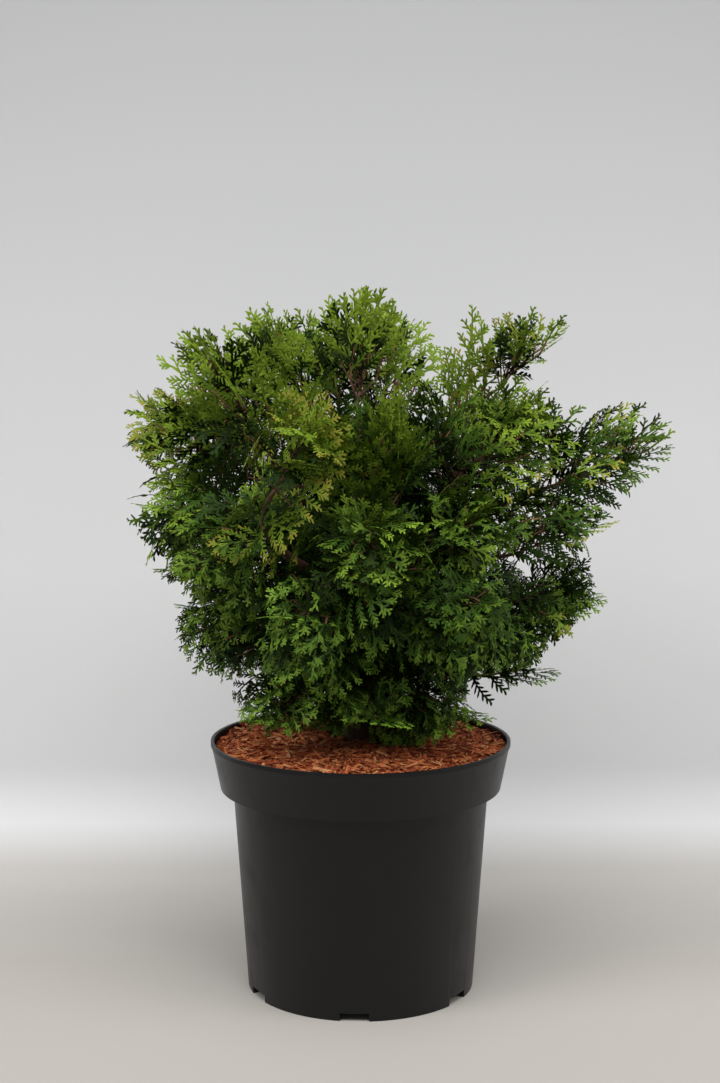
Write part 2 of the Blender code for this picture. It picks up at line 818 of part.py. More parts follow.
def main():
    clear_scene()
    plant = new_collection(PLANT_NAME)
    cutters = new_collection("cutters")
    materials = {name: make_material(name) for name in LOOKS}
    make_pot(plant, cutters, materials["pot_plastic"])
    make_filling(plant, materials["potting_mix"], materials["shredded_bark"])
    trunk_cutter, trunk_knots = make_trunk(plant, cutters, materials["bark"])
    limbs = [trunk_knots]
    for mass, height in bough_heights().items():
        limbs.append(make_bough(mass, height, plant, trunk_cutter, materials["bark"]))
    for mass in MASSES:
        other_stems = [stem_knots(other) for other in MASSES if other is not mass]
        shapes = grow_mass(mass, limb_samples(limbs + other_stems))
        fuse("foliage_" + mass.name, shapes, plant, materials[foliage_look(mass)])


if __name__ == "__main__":
    main()
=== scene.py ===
"""The looks of a young dwarf hinoki cypress in a nursery pot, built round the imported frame.

Units are metres and +Z is up. The frame gives the places. The stem and twigs of each mass grow by
the same rule as its solid: twigs turn round the stem by the golden angle, and each keeps to its
mass's own space. Here every twig ends in a flat fan that is laid out joint by joint: its axis forks
into feathers, and these fork into the last shoots of small scale leaves.
"""

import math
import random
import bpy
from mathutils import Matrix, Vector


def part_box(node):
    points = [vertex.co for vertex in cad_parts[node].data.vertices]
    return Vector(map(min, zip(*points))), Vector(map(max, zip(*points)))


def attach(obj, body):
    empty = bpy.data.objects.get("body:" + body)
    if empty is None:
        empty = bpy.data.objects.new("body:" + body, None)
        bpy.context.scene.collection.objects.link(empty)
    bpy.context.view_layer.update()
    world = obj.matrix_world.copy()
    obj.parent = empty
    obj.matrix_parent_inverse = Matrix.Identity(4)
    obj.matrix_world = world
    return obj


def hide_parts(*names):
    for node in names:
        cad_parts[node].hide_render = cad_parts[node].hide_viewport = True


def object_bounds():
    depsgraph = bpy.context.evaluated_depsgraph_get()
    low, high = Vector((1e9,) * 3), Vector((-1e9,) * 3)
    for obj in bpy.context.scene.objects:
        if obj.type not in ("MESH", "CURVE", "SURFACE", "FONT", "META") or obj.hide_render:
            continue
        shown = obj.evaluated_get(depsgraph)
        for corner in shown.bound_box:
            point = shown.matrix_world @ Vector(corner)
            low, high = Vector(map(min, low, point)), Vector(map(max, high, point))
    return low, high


bl_info = {
    "name": "Dwarf Hinoki Cypress",
    "version": (1, 0, 0),
    "blender": (4, 5, 0),
    "location": "3D View > Sidebar > Hinoki",
    "description": "Leaves, bark, mulch and pot of a young dwarf hinoki cypress",
    "category": "Add Mesh",
}

from collections import namedtuple

import bmesh
import bpy
import numpy as np
from bpy.props import FloatProperty, FloatVectorProperty, IntProperty, PointerProperty
from mathutils import Matrix, Vector, noise
from mathutils.geometry import interpolate_bezier

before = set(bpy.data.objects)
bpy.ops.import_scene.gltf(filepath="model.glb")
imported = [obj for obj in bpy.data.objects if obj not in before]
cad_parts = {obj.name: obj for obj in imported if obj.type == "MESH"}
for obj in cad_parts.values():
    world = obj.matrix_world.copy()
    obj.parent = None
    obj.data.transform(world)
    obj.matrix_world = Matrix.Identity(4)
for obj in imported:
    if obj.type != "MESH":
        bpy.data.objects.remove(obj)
CAD_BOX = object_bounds()

# Pot
POT_LOW, POT_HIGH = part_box("pot")
POT_HEIGHT = POT_HIGH.z
RIM_RADIUS = POT_HIGH.x
BAND_DEPTH = 0.039
BAND_FOOT_RADIUS = 0.1158
WALL_TOP_RADIUS = 0.1055
BASE_RADIUS = 0.0938
WALL = 0.0018
LIP_DEPTH = 0.0035
LIP_STEP = 0.0010
FOOT_RING_WIDTH = 0.0032
FOOT_RING_HEIGHT = 0.0075
FLOOR_THICKNESS = 0.0020
PAD_RADIUS = 0.024
POT_SEGMENTS = 144
NOTCH_COUNT = 6
NOTCH_WIDTH = 0.0232
NOTCH_HEIGHT = 0.0064
NOTCH_BEARING = 267
DRAIN_HOLE_RADIUS = 0.0045
DRAIN_RING_RADIUS = 0.079
DRAIN_SIDES = 24
SHARP_ANGLE = math.radians(35)
ROUNDING_STEPS = 2
MERGE_DISTANCE = 0.00001
MIX_DARK = (0.008, 0.005, 0.004)
MIX_LIGHT = (0.04, 0.025, 0.016)

# Mulch
MULCH_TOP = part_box("bark_mulch")[1].z
MULCH_EDGE = 0.2022
MULCH_FLAT_RADIUS = 0.030
MULCH_SHOULDER_RADIUS = 0.0866
MULCH_SHOULDER = 0.20615
MULCH_RADIUS = 0.1195
MULCH_DEPTH = 0.014
MULCH_SEGMENTS = 120
MULCH_RINGS = 34
BED_ROUGH_WITHIN = 0.99
BED_LUMPS = 0.0010
BED_LUMPS_PER_METRE = 130
BED_GRAIN_PER_METRE = 420
BED_GRAIN = 0.6
BED_SUNK = 0.0016
SHORTEST_CHIP = 0.0035
FEW_LONG_CHIPS = 3.6
CHIP_SIDES = 4
CHIP_END_WIDTH = 0.55
CHIP_TILT = 0.20
CHIP_LIES = (-0.0014, 0.0012)
CHIP_HALF_WIDTHS = (0.00045, 0.0021)
CHIP_WIDTH_SHARES = (0.03, 0.11)
CHIP_THICKNESS_SHARES = (0.25, 0.6)
CHIP_FACING_STRAY = 0.5
CHIPS_WITHIN_EDGE = 0.002
CHIP_SHARES = {"dark": 0.36, "red": 0.52, "pale": 0.12}
PALEST_CHIP = (0.62, 0.33, 0.15)
DARKER_CHIP = 0.75
LEANING_STICK = ((-0.0730, -0.0250, 0.2060), (-0.0850, -0.0290, 0.2200))
STICK_RADII = ((0.0026, 0.0022),)

# Trunk
TRUNK_RADIUS = 0.0105
TRUNK_TIP_RADIUS = 0.0024
FLARE = 0.0060
FLARE_HEIGHT = 0.014
TRUNK_LEAN = (0.006, -0.004)
TRUNK_BEND = 0.007
TRUNK_TAPER = 0.9
STRAIGHT_FOOT = 0.125
TRUNK_SIDES = 40
TRUNK_RINGS = 120
TRUNK_SUNK = 0.004
TRUNK_RINGS_CROWD = 1.2
TRUNK_RELIEF = 1.6
BOUGH_RELIEF = 0.6
STRIPS_ROUND = 2.6
STRIPS_PER_METRE = 34
CRACKS_ROUND = 7
CRACKS_PER_METRE = 110
CRACK_DEPTH = 0.5

# Boughs
BOUGH_RADIUS = 0.0044
BOUGH_TIP_RADIUS = 0.0019
BOUGH_SHARE_OF_TRUNK = 0.62
BOUGH_SLOPE = 0.9
BOUGH_RISE = 0.55
BOUGH_HANDLE_OUT = 0.42
BOUGH_HANDLE_IN = 0.34
BOUGH_END = 0.006
BOUGH_SIDES = 16
BOUGH_RINGS = 34
LOWEST_BOUGH = 0.052
HIGHEST_BOUGH = 0.022
SHORTEST_BOUGH = 0.040
LEVEL_CLIMB = 20
BOUGH_SPACING = 0.0115
BOUGH_STEPS = 10
SAME_SIDE = math.radians(68)

# Stems and twigs, and the room of each mass
STEM_TIP_RADIUS = 0.0006
STEM_PIECES = 9
STEM_SWAY = 0.0016
TWIG_RADIUS = 0.0008
TWIG_TIP_RADIUS = 0.0003
TWIG_SIDES = 5
FIRST_TWIG_AT = 0.10
LAST_TWIG_AT = 0.95
GOLDEN_ANGLE = math.radians(137.5)
OPENING_VARIES = (0.85, 1.15)
FACING_UP = 0.62
FACING_OUT = 0.85
FACING_STRAY = 0.40
OPENING_AT_FOOT = math.radians(74)
OPENING_AT_TIP = math.radians(30)
TOP_SPRAY_SHARE = 0.4
SPRAY_LENGTH = 0.066
TWIG_INTO_FAN = 0.15
TIP_INSIDE = 0.003
FANS_CROSS_BY = 0.014
ABOVE_MULCH = 0.001
UNDERSIDE = 0.214
UNDERSIDE_IN_FRONT = 0.042
UNDERSIDE_RADIUS = 0.09
UNDERSIDE_SLOPE = 0.65
UNDERSIDE_SLOPES = {"low_left": 0.10, "low_front_left": 0.0, "low_back_left": 0.3}
UNDERCUT_SLOPES = {
    "right": 0.80,
    "upper_right": 0.95,
    "right_front": 0.75,
    "right_low": 1.10,
    "low_right": 0.35,
    "low_front_right": 0.9,
    "left_front": 0.85,
}

# Fans: flat sprays that lie over one another along each mass. A dictionary gives the masses that
# depart from the common value, or the factors by which they do.
LONGEST_FAN = 0.068
SHORTEST_FAN = 0.018
BROAD_WITHIN = (0.50, 0.88)
AIRY_WITHIN = (0.55, 1.13)
AIRY_SHARE = 0.26
BOX_MARGIN = 0.003
TWIG_SHARES = (0.06, 0.66)
INNER_TWIG_SHARE = 0.08
INNER_FANS_AT = (0.1, 0.8)
LONGEST_TWIG = 0.055
OUTWARD_SHARES = (0.25, 0.75)
FORWARD_SHARE = 0.78
SAG = 0.55
SAG_FULL_AT = 0.30
SAG_NONE_AT = 0.46
LEAST_BEND = 0.10
BEND_VARIES = (0.5, 1.1)
FACES_DOWN = -0.1
FAN_CUPS = (0.2, 0.9)
FAN_TWISTS = (-0.4, 0.4)
HIGH_MASSES_FROM = 0.32
HIGH_MASSES_OVER = 0.22
LIFT = {"upper_right": 0.55, "right": 0.35}
AIRY_MASSES = {"upper_right": 0.90, "right": 0.60, "right_front": 0.25, "top_centre": 1.0}
FAN_COUNTS = {
    "upper_right": 1.35,
    "right": 1.20,
    "right_front": 1.50,
    "right_centre": 1.30,
    "top_centre": 0.50,
    "top_left": 0.85,
    "low_left": 1.45,
    "low_front_left": 1.60,
    "low_right": 1.60,
    "right_low": 1.65,
    "low_back_right": 1.30,
    "low_front_right": 1.30,
    "left_front": 1.35,
    "left": 1.25,
    "left_shoulder": 1.15,
    "upper_left": 1.10,
    "back_top": 1.30,
    "back_right": 1.30,
    "top_back_left": 0.48,
    "low_back": 0.80,
}
OPENINGS = {"top_centre": 0.8, "back_top": 1.5, "upper_right": 1.60}
FORWARD_SHARES = {
    "upper_right": 0.28,
    "back_top": 0.50,
    "top_centre": 1.60,
    "top_back_left": 1.30,
    "top_left": 1.10,
}
REACH_SHARES = {"low_front_left": 1.30, "low_left": 1.10}
FLATNESS = {
    "low_right": 0.65,
    "right_low": 0.70,
    "right_front": 0.55,
    "low_front_right": 0.35,
    "low_back_right": 0.40,
    "back_right": 0.40,
    "low_left": 0.70,
    "left": 0.65,
    "left_front": 0.60,
    "low_front_left": 0.40,
    "low_back_left": 0.40,
    "back_left": 0.40,
    "upper_right": 0.85,
    "right": 0.75,
    "top_centre": 0.80,
    "top_back_left": 0.20,
    "top_left": 0.60,
    "upper_left": 0.60,
    "left_shoulder": 0.60,
    "right_centre": 0.50,
}
INNER_FANS = 12
TIP_FANS = 7
TIP_FAN_OPENING = math.radians(66)
TIP_FAN_OPENING_VARIES = (0.75, 1.2)
TIP_FAN_LENGTHS = (0.026, 0.046)
TIP_FANS_BACK = (0.004, 0.022)
TIP_FAN_TONES = (-1.0, 0.6)
TIP_FAN_BENDS = (0.2, 0.8)
TOP_FAN_FACES_UP = 0.5
TOP_FAN_LIGHTER = 0.6
TOP_FAN_BEND = 0.08
UPRIGHT_CLIMB = 58
UPRIGHT_OPENING = 0.64
UPRIGHT_AIRY_SHARE = 0.70
UPRIGHT_TWIG_SHARES = (0.04, 0.44)
UPRIGHT_INNER_FANS = 8
BARE_BELOW = {"upper_right": 0.0}
BOUGH_FANS = 24
BOUGH_FAN_COUNTS = {
    "upper_right": 1.8,
    "right_centre": 1.6,
    "right": 1.5,
    "front_left": 1.4,
    "left": 1.3,
}
BOUGH_FANS_FROM = 0.10
BOUGH_FAN_FORWARD = 0.6
BOUGH_FAN_OUTWARD = 0.8
BOUGH_FAN_LENGTHS = (0.034, 0.058)
BOUGH_FAN_BENDS = (0.1, 0.6)
BOUGH_FAN_SHADE = 1.5
TRUNK_FANS = 56
TRUNK_FANS_FROM = 0.228
TRUNK_FANS_TO = 0.46
TRUNK_FAN_RISES = (0.0, 0.5)
TRUNK_FAN_LENGTHS = (0.044, 0.068)
TRUNK_FAN_TONES = (0, 1.4)
TRUNK_FAN_BENDS = (0.6, 1.3)
OVER_POT_WITHIN = 0.004
LEAVES_OVER_MULCH = 0.0015
PRESSED_FLAT = 0.06

# A fan's axis forks alternately into feathers, and a feather into the last shoots
FAN_LENGTHS = (0.022, 0.031, 0.041, 0.052, 0.064)
FAN_KINDS = 4
INNER_SCALE = 1.35
FEATHER_SPACING = 0.0062
SHOOT_SPACING = 0.0020
AIRY_BREADTH = 0.74
AIRY_OPENNESS = 1.20
AIRY_SCALE = 1.15
PRONG_BREADTH = 0.42
PRONG_OPENNESS = 1.25
PRONGS_FROM = 0.50
PRONG_SHARE = 0.75
FINE_SCALE = 0.84
LONGEST_LOW_FAN = 0.050
TIP_ZONE = 0.0075
BASE_ZONE = 0.40
WIDEST_ANGLE = math.radians(56)
NARROWEST_ANGLE = math.radians(33)
FEATHER_CURVE = 0.50
FEATHER_FULLY_CURVED_AT = 0.6
FEATHER_LEAST = 0.08
FEATHER_MOST = 0.76
FEATHER_TAPER = 0.9
FIRST_FEATHER = 0.66
FEATHERS_GROW_BY = 1.4
FEATHER_SIZE_VARIES = (0.80, 1.12)
FEATHER_ANGLE_VARIES = (0.90, 1.10)
END_FEATHER = 1.5
FIRST_AXIS_STRAY = 0.06
AXIS_STRAY = 0.07
FEATHER_STRAY = 0.04
SHOOT_PLACES = ((-1, 0.12), (1, 0.37), (-1, 0.62), (1, 0.87))
SHOOT_ANGLE = math.radians(40)
SHOOT_ANGLE_VARIES = (0.70, 1.25)
SHOOT_SIZE_VARIES = (0.70, 1.20)
LAST_SHOOT = 0.0024
SHOOTS_GROW_BY = 0.5
JOINT_SIDES = 6
KEEL_HEIGHT = 0.45
AXIS_WIDTH = 0.95
FEATHER_WIDTH = 0.85
AXIS_OVERLAP = 0.40
SHOOT_OVERLAP = 0.22
OVERLAP_AHEAD = 0.3

Mass = namedtuple("Mass", "name bearing reach height climb stem spread turn")
MASSES = (
    Mass("top_centre", 0, 0.004, 0.569, 86, 0.100, 0.058, 0),
    Mass("top_back_left", 113, 0.076, 0.556, 68, 0.105, 0.062, 0),
    Mass("top_left", 180, 0.079, 0.554, 66, 0.115, 0.066, 0),
    Mass("back_top", 76, 0.124, 0.553, 62, 0.120, 0.072, 0),
    Mass("upper_right", 10, 0.171, 0.544, 40, 0.130, 0.064, 0),
    Mass("upper_left", 189, 0.134, 0.538, 58, 0.120, 0.070, 0),
    Mass("front_upright", 282, 0.092, 0.486, 72, 0.110, 0.068, 0),
    Mass("front_left", 260, 0.148, 0.490, 48, 0.100, 0.070, 50),
    Mass("right_centre", 348, 0.149, 0.491, 44, 0.120, 0.070, 0),
    Mass("left_shoulder", 166, 0.192, 0.485, 38, 0.120, 0.066, 0),
    Mass("back_right", 48, 0.195, 0.475, 38, 0.130, 0.076, 0),
    Mass("back_left", 135, 0.185, 0.470, 38, 0.130, 0.076, 0),
    Mass("right", 0, 0.249, 0.450, 20, 0.130, 0.070, 0),
    Mass("back", 92, 0.195, 0.420, 22, 0.130, 0.074, 0),
    Mass("front_centre", 273, 0.170, 0.415, 40, 0.120, 0.070, 0),
    Mass("front_inner_right", 312, 0.150, 0.412, 32, 0.110, 0.066, 0),
    Mass("left", 186, 0.181, 0.406, 14, 0.120, 0.070, 0),
    Mass("right_front", 338, 0.210, 0.397, 20, 0.125, 0.070, 0),
    Mass("left_front", 209, 0.178, 0.362, 8, 0.115, 0.074, 0),
    Mass("front_right", 304, 0.182, 0.345, 12, 0.120, 0.070, 0),
    Mass("front_low", 252, 0.165, 0.335, 8, 0.120, 0.072, 0),
    Mass("right_low", 354, 0.197, 0.332, 8, 0.125, 0.072, 0),
    Mass("low_left", 181, 0.151, 0.321, 14, 0.125, 0.074, 0),
    Mass("low_back_left", 138, 0.160, 0.312, 14, 0.125, 0.076, 0),
    Mass("low_back_right", 40, 0.165, 0.300, 12, 0.125, 0.076, 0),
    Mass("low_back", 92, 0.155, 0.262, 4, 0.125, 0.072, 0),
    Mass("low_right", 2, 0.161, 0.266, 6, 0.125, 0.070, 0),
    Mass("low_front", 276, 0.131, 0.250, 4, 0.110, 0.066, 0),
    Mass("low_front_left", 226, 0.122, 0.246, 3, 0.105, 0.064, 0),
    Mass("low_front_right", 326, 0.122, 0.240, 1, 0.105, 0.060, 0),
)
SECTIONS = {"crown": MASSES[:10], "sides": MASSES[10:20], "skirt": MASSES[20:]}

# Light and colour: the tones run from the oldest and darkest leaf to the gold of the last tips.
# The tones are partly painted light and shade: lighter high up and outside, darker low and inside.
# SUNLIT and TONE_STRAY count in tones. GOLD_TIPPED is the share of a mass's fans.
TONES = ("deep", "shade", "leaf", "bright", "lime", "gold")
DEEP, SHADE, LEAF, BRIGHT, LIME, GOLD = range(len(TONES))
TONE_AT_FOOT = 1.10
PAINTED_LIGHT_HIGHER_UP = 3.30
TONE_CURVE = 2.6
TONE_OUTSIDE = 0.60
OUTSIDE_AT = 0.20
SUNLIT = {
    "front_left": 2.2,
    "left_shoulder": 0.9,
    "upper_right": -0.3,
    "right": -1.1,
    "right_front": -0.5,
    "right_centre": -0.2,
    "right_low": -0.2,
    "back_right": -0.4,
    "low_front": 0.2,
    "front_low": -0.4,
    "low_front_right": 0.2,
}
GOLD_TIPPED = {"left_shoulder": 0.28, "front_left": 0.65, "upper_right": 0.12, "right": 0.08}
SELDOM_GOLD = 0.006
ALL_GOLD = 9
GOLDEN_MASS = "front_left"
GOLDEN_FAN_TURNS = (0, -34, 34, -62)
DEEPER_GREEN = {"crown": 0, "sides": 0.5, "skirt": 1}
FRESH_LEAF = 0.45
TONE_STRAY = {"crown": 0.8, "sides": 0.7, "skirt": 0.9}


# Properties
class HinokiLeafSettings(bpy.types.PropertyGroup):
    shoot_length: FloatProperty(
        name="Shoot length", description="Length of the last shoots", default=0.0054, unit="LENGTH"
    )
    shoot_width: FloatProperty(
        name="Shoot width", description="Width of the last shoots", default=0.00145, unit="LENGTH"
    )
    fans_low: IntProperty(
        name="Sprays low down", description="Sprays of a mass near the pot", default=44, min=4
    )
    fans_high: IntProperty(
        name="Sprays high up", description="Sprays of a mass at the crown's top", default=30, min=4
    )
    droop: FloatProperty(
        name="Droop",
        description="How far outward sprays bend down along their length",
        default=1.15,
        min=0,
        subtype="ANGLE",
    )
    # The shaded leaf colour is the oldest leaf's own, and also painted shade of the crown's inside.
    shade: FloatVectorProperty(
        name="Shaded leaf",
        description="Colour of the oldest leaf",
        default=(0.0080, 0.0205, 0.0008),
        subtype="COLOR",
    )
    leaf: FloatVectorProperty(
        name="Leaf",
        description="Colour of most of the leaf",
        default=(0.0315, 0.074, 0.0045),
        subtype="COLOR",
    )
    young: FloatVectorProperty(
        name="Young leaf",
        description="Colour of the young tips",
        default=(0.160, 0.235, 0.017),
        subtype="COLOR",
    )
    low: FloatVectorProperty(
        name="Young leaf low down",
        description="Colour of young tips near the pot",
        default=(0.150, 0.250, 0.026),
        subtype="COLOR",
    )
    gold: FloatVectorProperty(
        name="Gold tip",
        description="Colour of the youngest tips",
        default=(0.270, 0.250, 0.034),
        subtype="COLOR",
    )


class HinokiBarkSettings(bpy.types.PropertyGroup):
    relief: FloatProperty(
        name="Bark relief", description="Depth of the peeling strips", default=0.0007, unit="LENGTH"
    )
    dark: FloatVectorProperty(
        name="Bark furrow",
        description="Colour between the strips",
        default=(0.030, 0.011, 0.006),
        subtype="COLOR",
    )
    light: FloatVectorProperty(
        name="Bark strip",
        description="Colour of the raised strips",
        default=(0.130, 0.050, 0.022),
        subtype="COLOR",
    )
    young: FloatVectorProperty(
        name="Young bark",
        description="Colour of the twigs",
        default=(0.200, 0.062, 0.026),
        subtype="COLOR",
    )


class HinokiMulchSettings(bpy.types.PropertyGroup):
    chips: IntProperty(
        name="Chips", description="Number of shreds of bark on the pot", default=5000, min=100
    )
    longest: FloatProperty(
        name="Longest chip", description="Length of the longest chips", default=0.021, unit="LENGTH"
    )
    dark: FloatVectorProperty(
        name="Dark chip",
        description="Colour of the darkest shreds",
        default=(0.120, 0.020, 0.004),
        subtype="COLOR",
    )
    red: FloatVectorProperty(
        name="Red chip",
        description="Colour of most shreds",
        default=(0.450, 0.078, 0.013),
        subtype="COLOR",
    )
    pale: FloatVectorProperty(
        name="Pale chip",
        description="Colour of the palest shreds",
        default=(0.600, 0.205, 0.058),
        subtype="COLOR",
    )


class HinokiPotSettings(bpy.types.PropertyGroup):
    colour: FloatVectorProperty(
        name="Pot",
        description="Colour of the pot's plastic",
        default=(0.0050, 0.0052, 0.0055),
        subtype="COLOR",
    )
    scuffed: FloatVectorProperty(
        name="Scuffs",
        description="Colour of rubbed and dusty places",
        default=(0.013, 0.013, 0.013),
        subtype="COLOR",
    )
    rounding: FloatProperty(
        name="Edge rounding", description="Radius of the pot's edges", default=0.0006, unit="LENGTH"
    )


class HinokiStageSettings(bpy.types.PropertyGroup):
    lens: FloatProperty(
        name="Lens", description="Focal length for a 36 mm sensor", default=59.8, unit="CAMERA"
    )
    floor: FloatVectorProperty(
        name="Floor",
        description="Colour of the floor",
        default=(0.40, 0.377, 0.345),
        subtype="COLOR",
    )
    wall: FloatVectorProperty(
        name="Wall",
        description="Colour of the backdrop",
        default=(0.665, 0.665, 0.67),
        subtype="COLOR",
    )


# Shape helpers
NEARLY_UPRIGHT = 0.9


def add_piece(name, mesh, material, nodes=()):
    """Links a finished mesh as a piece of the plant that stands for the given nodes."""
    mesh.materials.clear()
    mesh.materials.append(material)
    obj = bpy.data.objects.new(name, mesh)
    bpy.context.scene.collection.objects.link(obj)
    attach(obj, "root")
    if nodes:
        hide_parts(*nodes)
    return obj


def mesh_of(shape, name):
    mesh = bpy.data.meshes.new(name)
    shape.to_mesh(mesh)
    shape.free()
    return mesh


def turned_shape(profile, segments):
    """A shape turned round the Z axis from a profile of radii and heights."""
    shape = bmesh.new()
    verts = [shape.verts.new((radius, 0, height)) for radius, height in profile]
    edges = [shape.edges.new(pair) for pair in zip(verts, verts[1:])]
    bmesh.ops.spin(
        shape,
        geom=verts + edges,
        cent=(0, 0, 0),
        axis=(0, 0, 1),
        angle=2 * math.pi,
        steps=segments,
        use_merge=True,
    )
    bmesh.ops.remove_doubles(shape, verts=shape.verts, dist=MERGE_DISTANCE)
    bmesh.ops.recalc_face_normals(shape, faces=shape.faces)
    return shape


def unit_arrays(shape):
    """The corners and triangles of a small shape, for laying many copies of it."""
    bmesh.ops.triangulate(shape, faces=shape.faces)
    corners = np.array([vert.co for vert in shape.verts])
    faces = np.array([[vert.index for vert in face.verts] for face in shape.faces])
    shape.free()
    return corners, faces


def upright_to_along(shape):
    """Turns a shape that stands from -1 to 1 so that it runs from 0 to 1 along Y."""
    turn = Matrix(((1, 0, 0, 0), (0, 0, 0.5, 0.5), (0, -1, 0, 0), (0, 0, 0, 1)))
    bmesh.ops.transform(shape, matrix=turn, verts=shape.verts)


def joint_shape():
    """One joint of scale leaves: a blunt blade in six faces with a low keel."""
    shape = bmesh.new()
    bmesh.ops.create_circle(
        shape, cap_ends=True, cap_tris=True, segments=JOINT_SIDES, radius=1
    )
    if shape.faces[:][0].normal.z < 0:
        bmesh.ops.reverse_faces(shape, faces=shape.faces)
    widest = max(vert.co.x for vert in shape.verts)
    keel = [vert for vert in shape.verts if vert.co.length < 0.5]
    bmesh.ops.translate(shape, verts=keel, vec=(0, 0, 1))
    place = Matrix(((1 / widest, 0, 0, 0), (0, 0.5, 0, 0.5), (0, 0, 1, 0), (0, 0, 0, 1)))
    bmesh.ops.transform(shape, matrix=place, verts=shape.verts)
    return unit_arrays(shape)


def rod_shape(sides, end_width=1.0):
    shape = bmesh.new()
    bmesh.ops.create_cone(
        shape, cap_ends=True, segments=sides, radius1=1, radius2=end_width, depth=2
    )
    upright_to_along(shape)
    return unit_arrays(shape)


def unit_rows(rows):
    return rows / np.linalg.norm(rows, axis=1, keepdims=True)


def rods_between(unit, starts, ends, radii, flat=None, facing=None):
    """Copies of the unit shape from each start to its end. radii has each copy's two ends, and
    flat its thickness as a share of its width."""
    run = ends - starts
    direction = unit_rows(run)
    if facing is None:
        upright = np.abs(direction[:, 2:]) > NEARLY_UPRIGHT
        facing = np.where(upright, np.array([[1.0, 0, 0]]), np.array([[0, 0, 1.0]]))
    across = unit_rows(np.cross(direction, facing))
    thick = np.cross(across, direction)
    along = unit[:, 1][None, :, None]
    wide = radii[:, :1, None] + (radii[:, 1:, None] - radii[:, :1, None]) * along
    deep = wide if flat is None else wide * flat[:, None, None]
    place = starts[:, None, :] + run[:, None, :] * along
    place = place + across[:, None, :] * unit[:, 0][None, :, None] * wide
    return place + thick[:, None, :] * unit[:, 2][None, :, None] * deep


class Pile:
    """Copies of one small shape, gathered to be joined in one mesh."""

    def __init__(self, unit):
        self.corners, self.faces = unit
        self.places = []

    def add(self, places):
        self.places.append(places)

    def to_mesh(self, name):
        places = np.concatenate(self.places)
        copies, corners = len(places), len(self.corners)
        offsets = np.arange(copies)[:, None, None] * corners
        faces = (self.faces[None] + offsets).reshape(-1, 3)
        along = np.tile(self.corners[:, 1], copies)
        mesh = bpy.data.meshes.new(name)
        mesh.vertices.add(copies * corners)
        mesh.vertices.foreach_set("co", places.astype(np.float32).ravel())
        mesh.loops.add(faces.size)
        mesh.loops.foreach_set("vertex_index", faces.astype(np.int32).ravel())
        mesh.polygons.add(len(faces))
        mesh.polygons.foreach_set("loop_start", np.arange(0, faces.size, 3, dtype=np.int32))
        mesh.polygons.foreach_set("use_smooth", np.ones(len(faces), dtype=bool))
        attribute = mesh.attributes.new("along", "FLOAT", "POINT")
        attribute.data.foreach_set("value", along.astype(np.float32))
        mesh.update(calc_edges=True)
        return mesh


# Materials. Noise scales are cycles per metre, and the depths of bumps are metres.
def new_group(name, inputs, outputs):
    """A shader node group with these inputs, as label, kind and default, and outputs."""
    group = bpy.data.node_groups.new(name, "ShaderNodeTree")
    for label, kind, default in inputs:
        socket = group.interface.new_socket(name=label, in_out="INPUT", socket_type=kind)
        if default is not None:
            socket.default_value = default
    for label, kind in outputs:
        group.interface.new_socket(name=label, in_out="OUTPUT", socket_type=kind)
    return group, group.nodes.new("NodeGroupInput"), group.nodes.new("NodeGroupOutput")


def add_noise(nodes, scale, detail, roughness=0.5):
    texture = nodes.new("ShaderNodeTexNoise")
    texture.inputs["Scale"].default_value = scale
    texture.inputs["Detail"].default_value = detail
    texture.inputs["Roughness"].default_value = roughness
    return texture


def add_math(nodes, links, operation, first, second):
    node = nodes.new("ShaderNodeMath")
    node.operation = operation
    for socket, value in zip(node.inputs, (first, second)):
        if isinstance(value, (int, float)):
            socket.default_value = value
        else:
            links.new(value, socket)
    return node.outputs[0]


def add_range(nodes, links, value, low, high, to_low=0.0, to_high=1.0):
    node = nodes.new("ShaderNodeMapRange")
    links.new(value, node.inputs["Value"])
    labels = ("From Min", "From Max", "To Min", "To Max")
    for label, number in zip(labels, (low, high, to_low, to_high)):
        node.inputs[label].default_value = number
    return node.outputs["Result"]


def add_weighted(nodes, links, *parts):
    """The sum of two values, each times its share."""
    first, second = (add_math(nodes, links, "MULTIPLY", value, share) for value, share in parts)
    return add_math(nodes, links, "ADD", first, second)


def add_mix(nodes, links, factor, first, second):
    node = nodes.new("ShaderNodeMix")
    node.data_type = "RGBA"
    links.new(factor, node.inputs["Factor"])
    for socket, value in ((node.inputs["A"], first), (node.inputs["B"], second)):
        if isinstance(value, tuple):
            socket.default_value = value
        else:
            links.new(value, socket)
    return node.outputs["Result"]


COLOUR = "NodeSocketColor"
VECTOR = "NodeSocketVector"
NUMBER = "NodeSocketFloat"
WHITE = (1, 1, 1, 1)
SCALE_WAVES = 12.0
PATCH_SCALE = 0.22
SCUFF_STRETCH = (55, 55, 9)
FIBRE_STRETCH = (1, 1, 0.10)
LEAF_SHEEN = 0.11
PLASTIC_SHEEN = 0.26


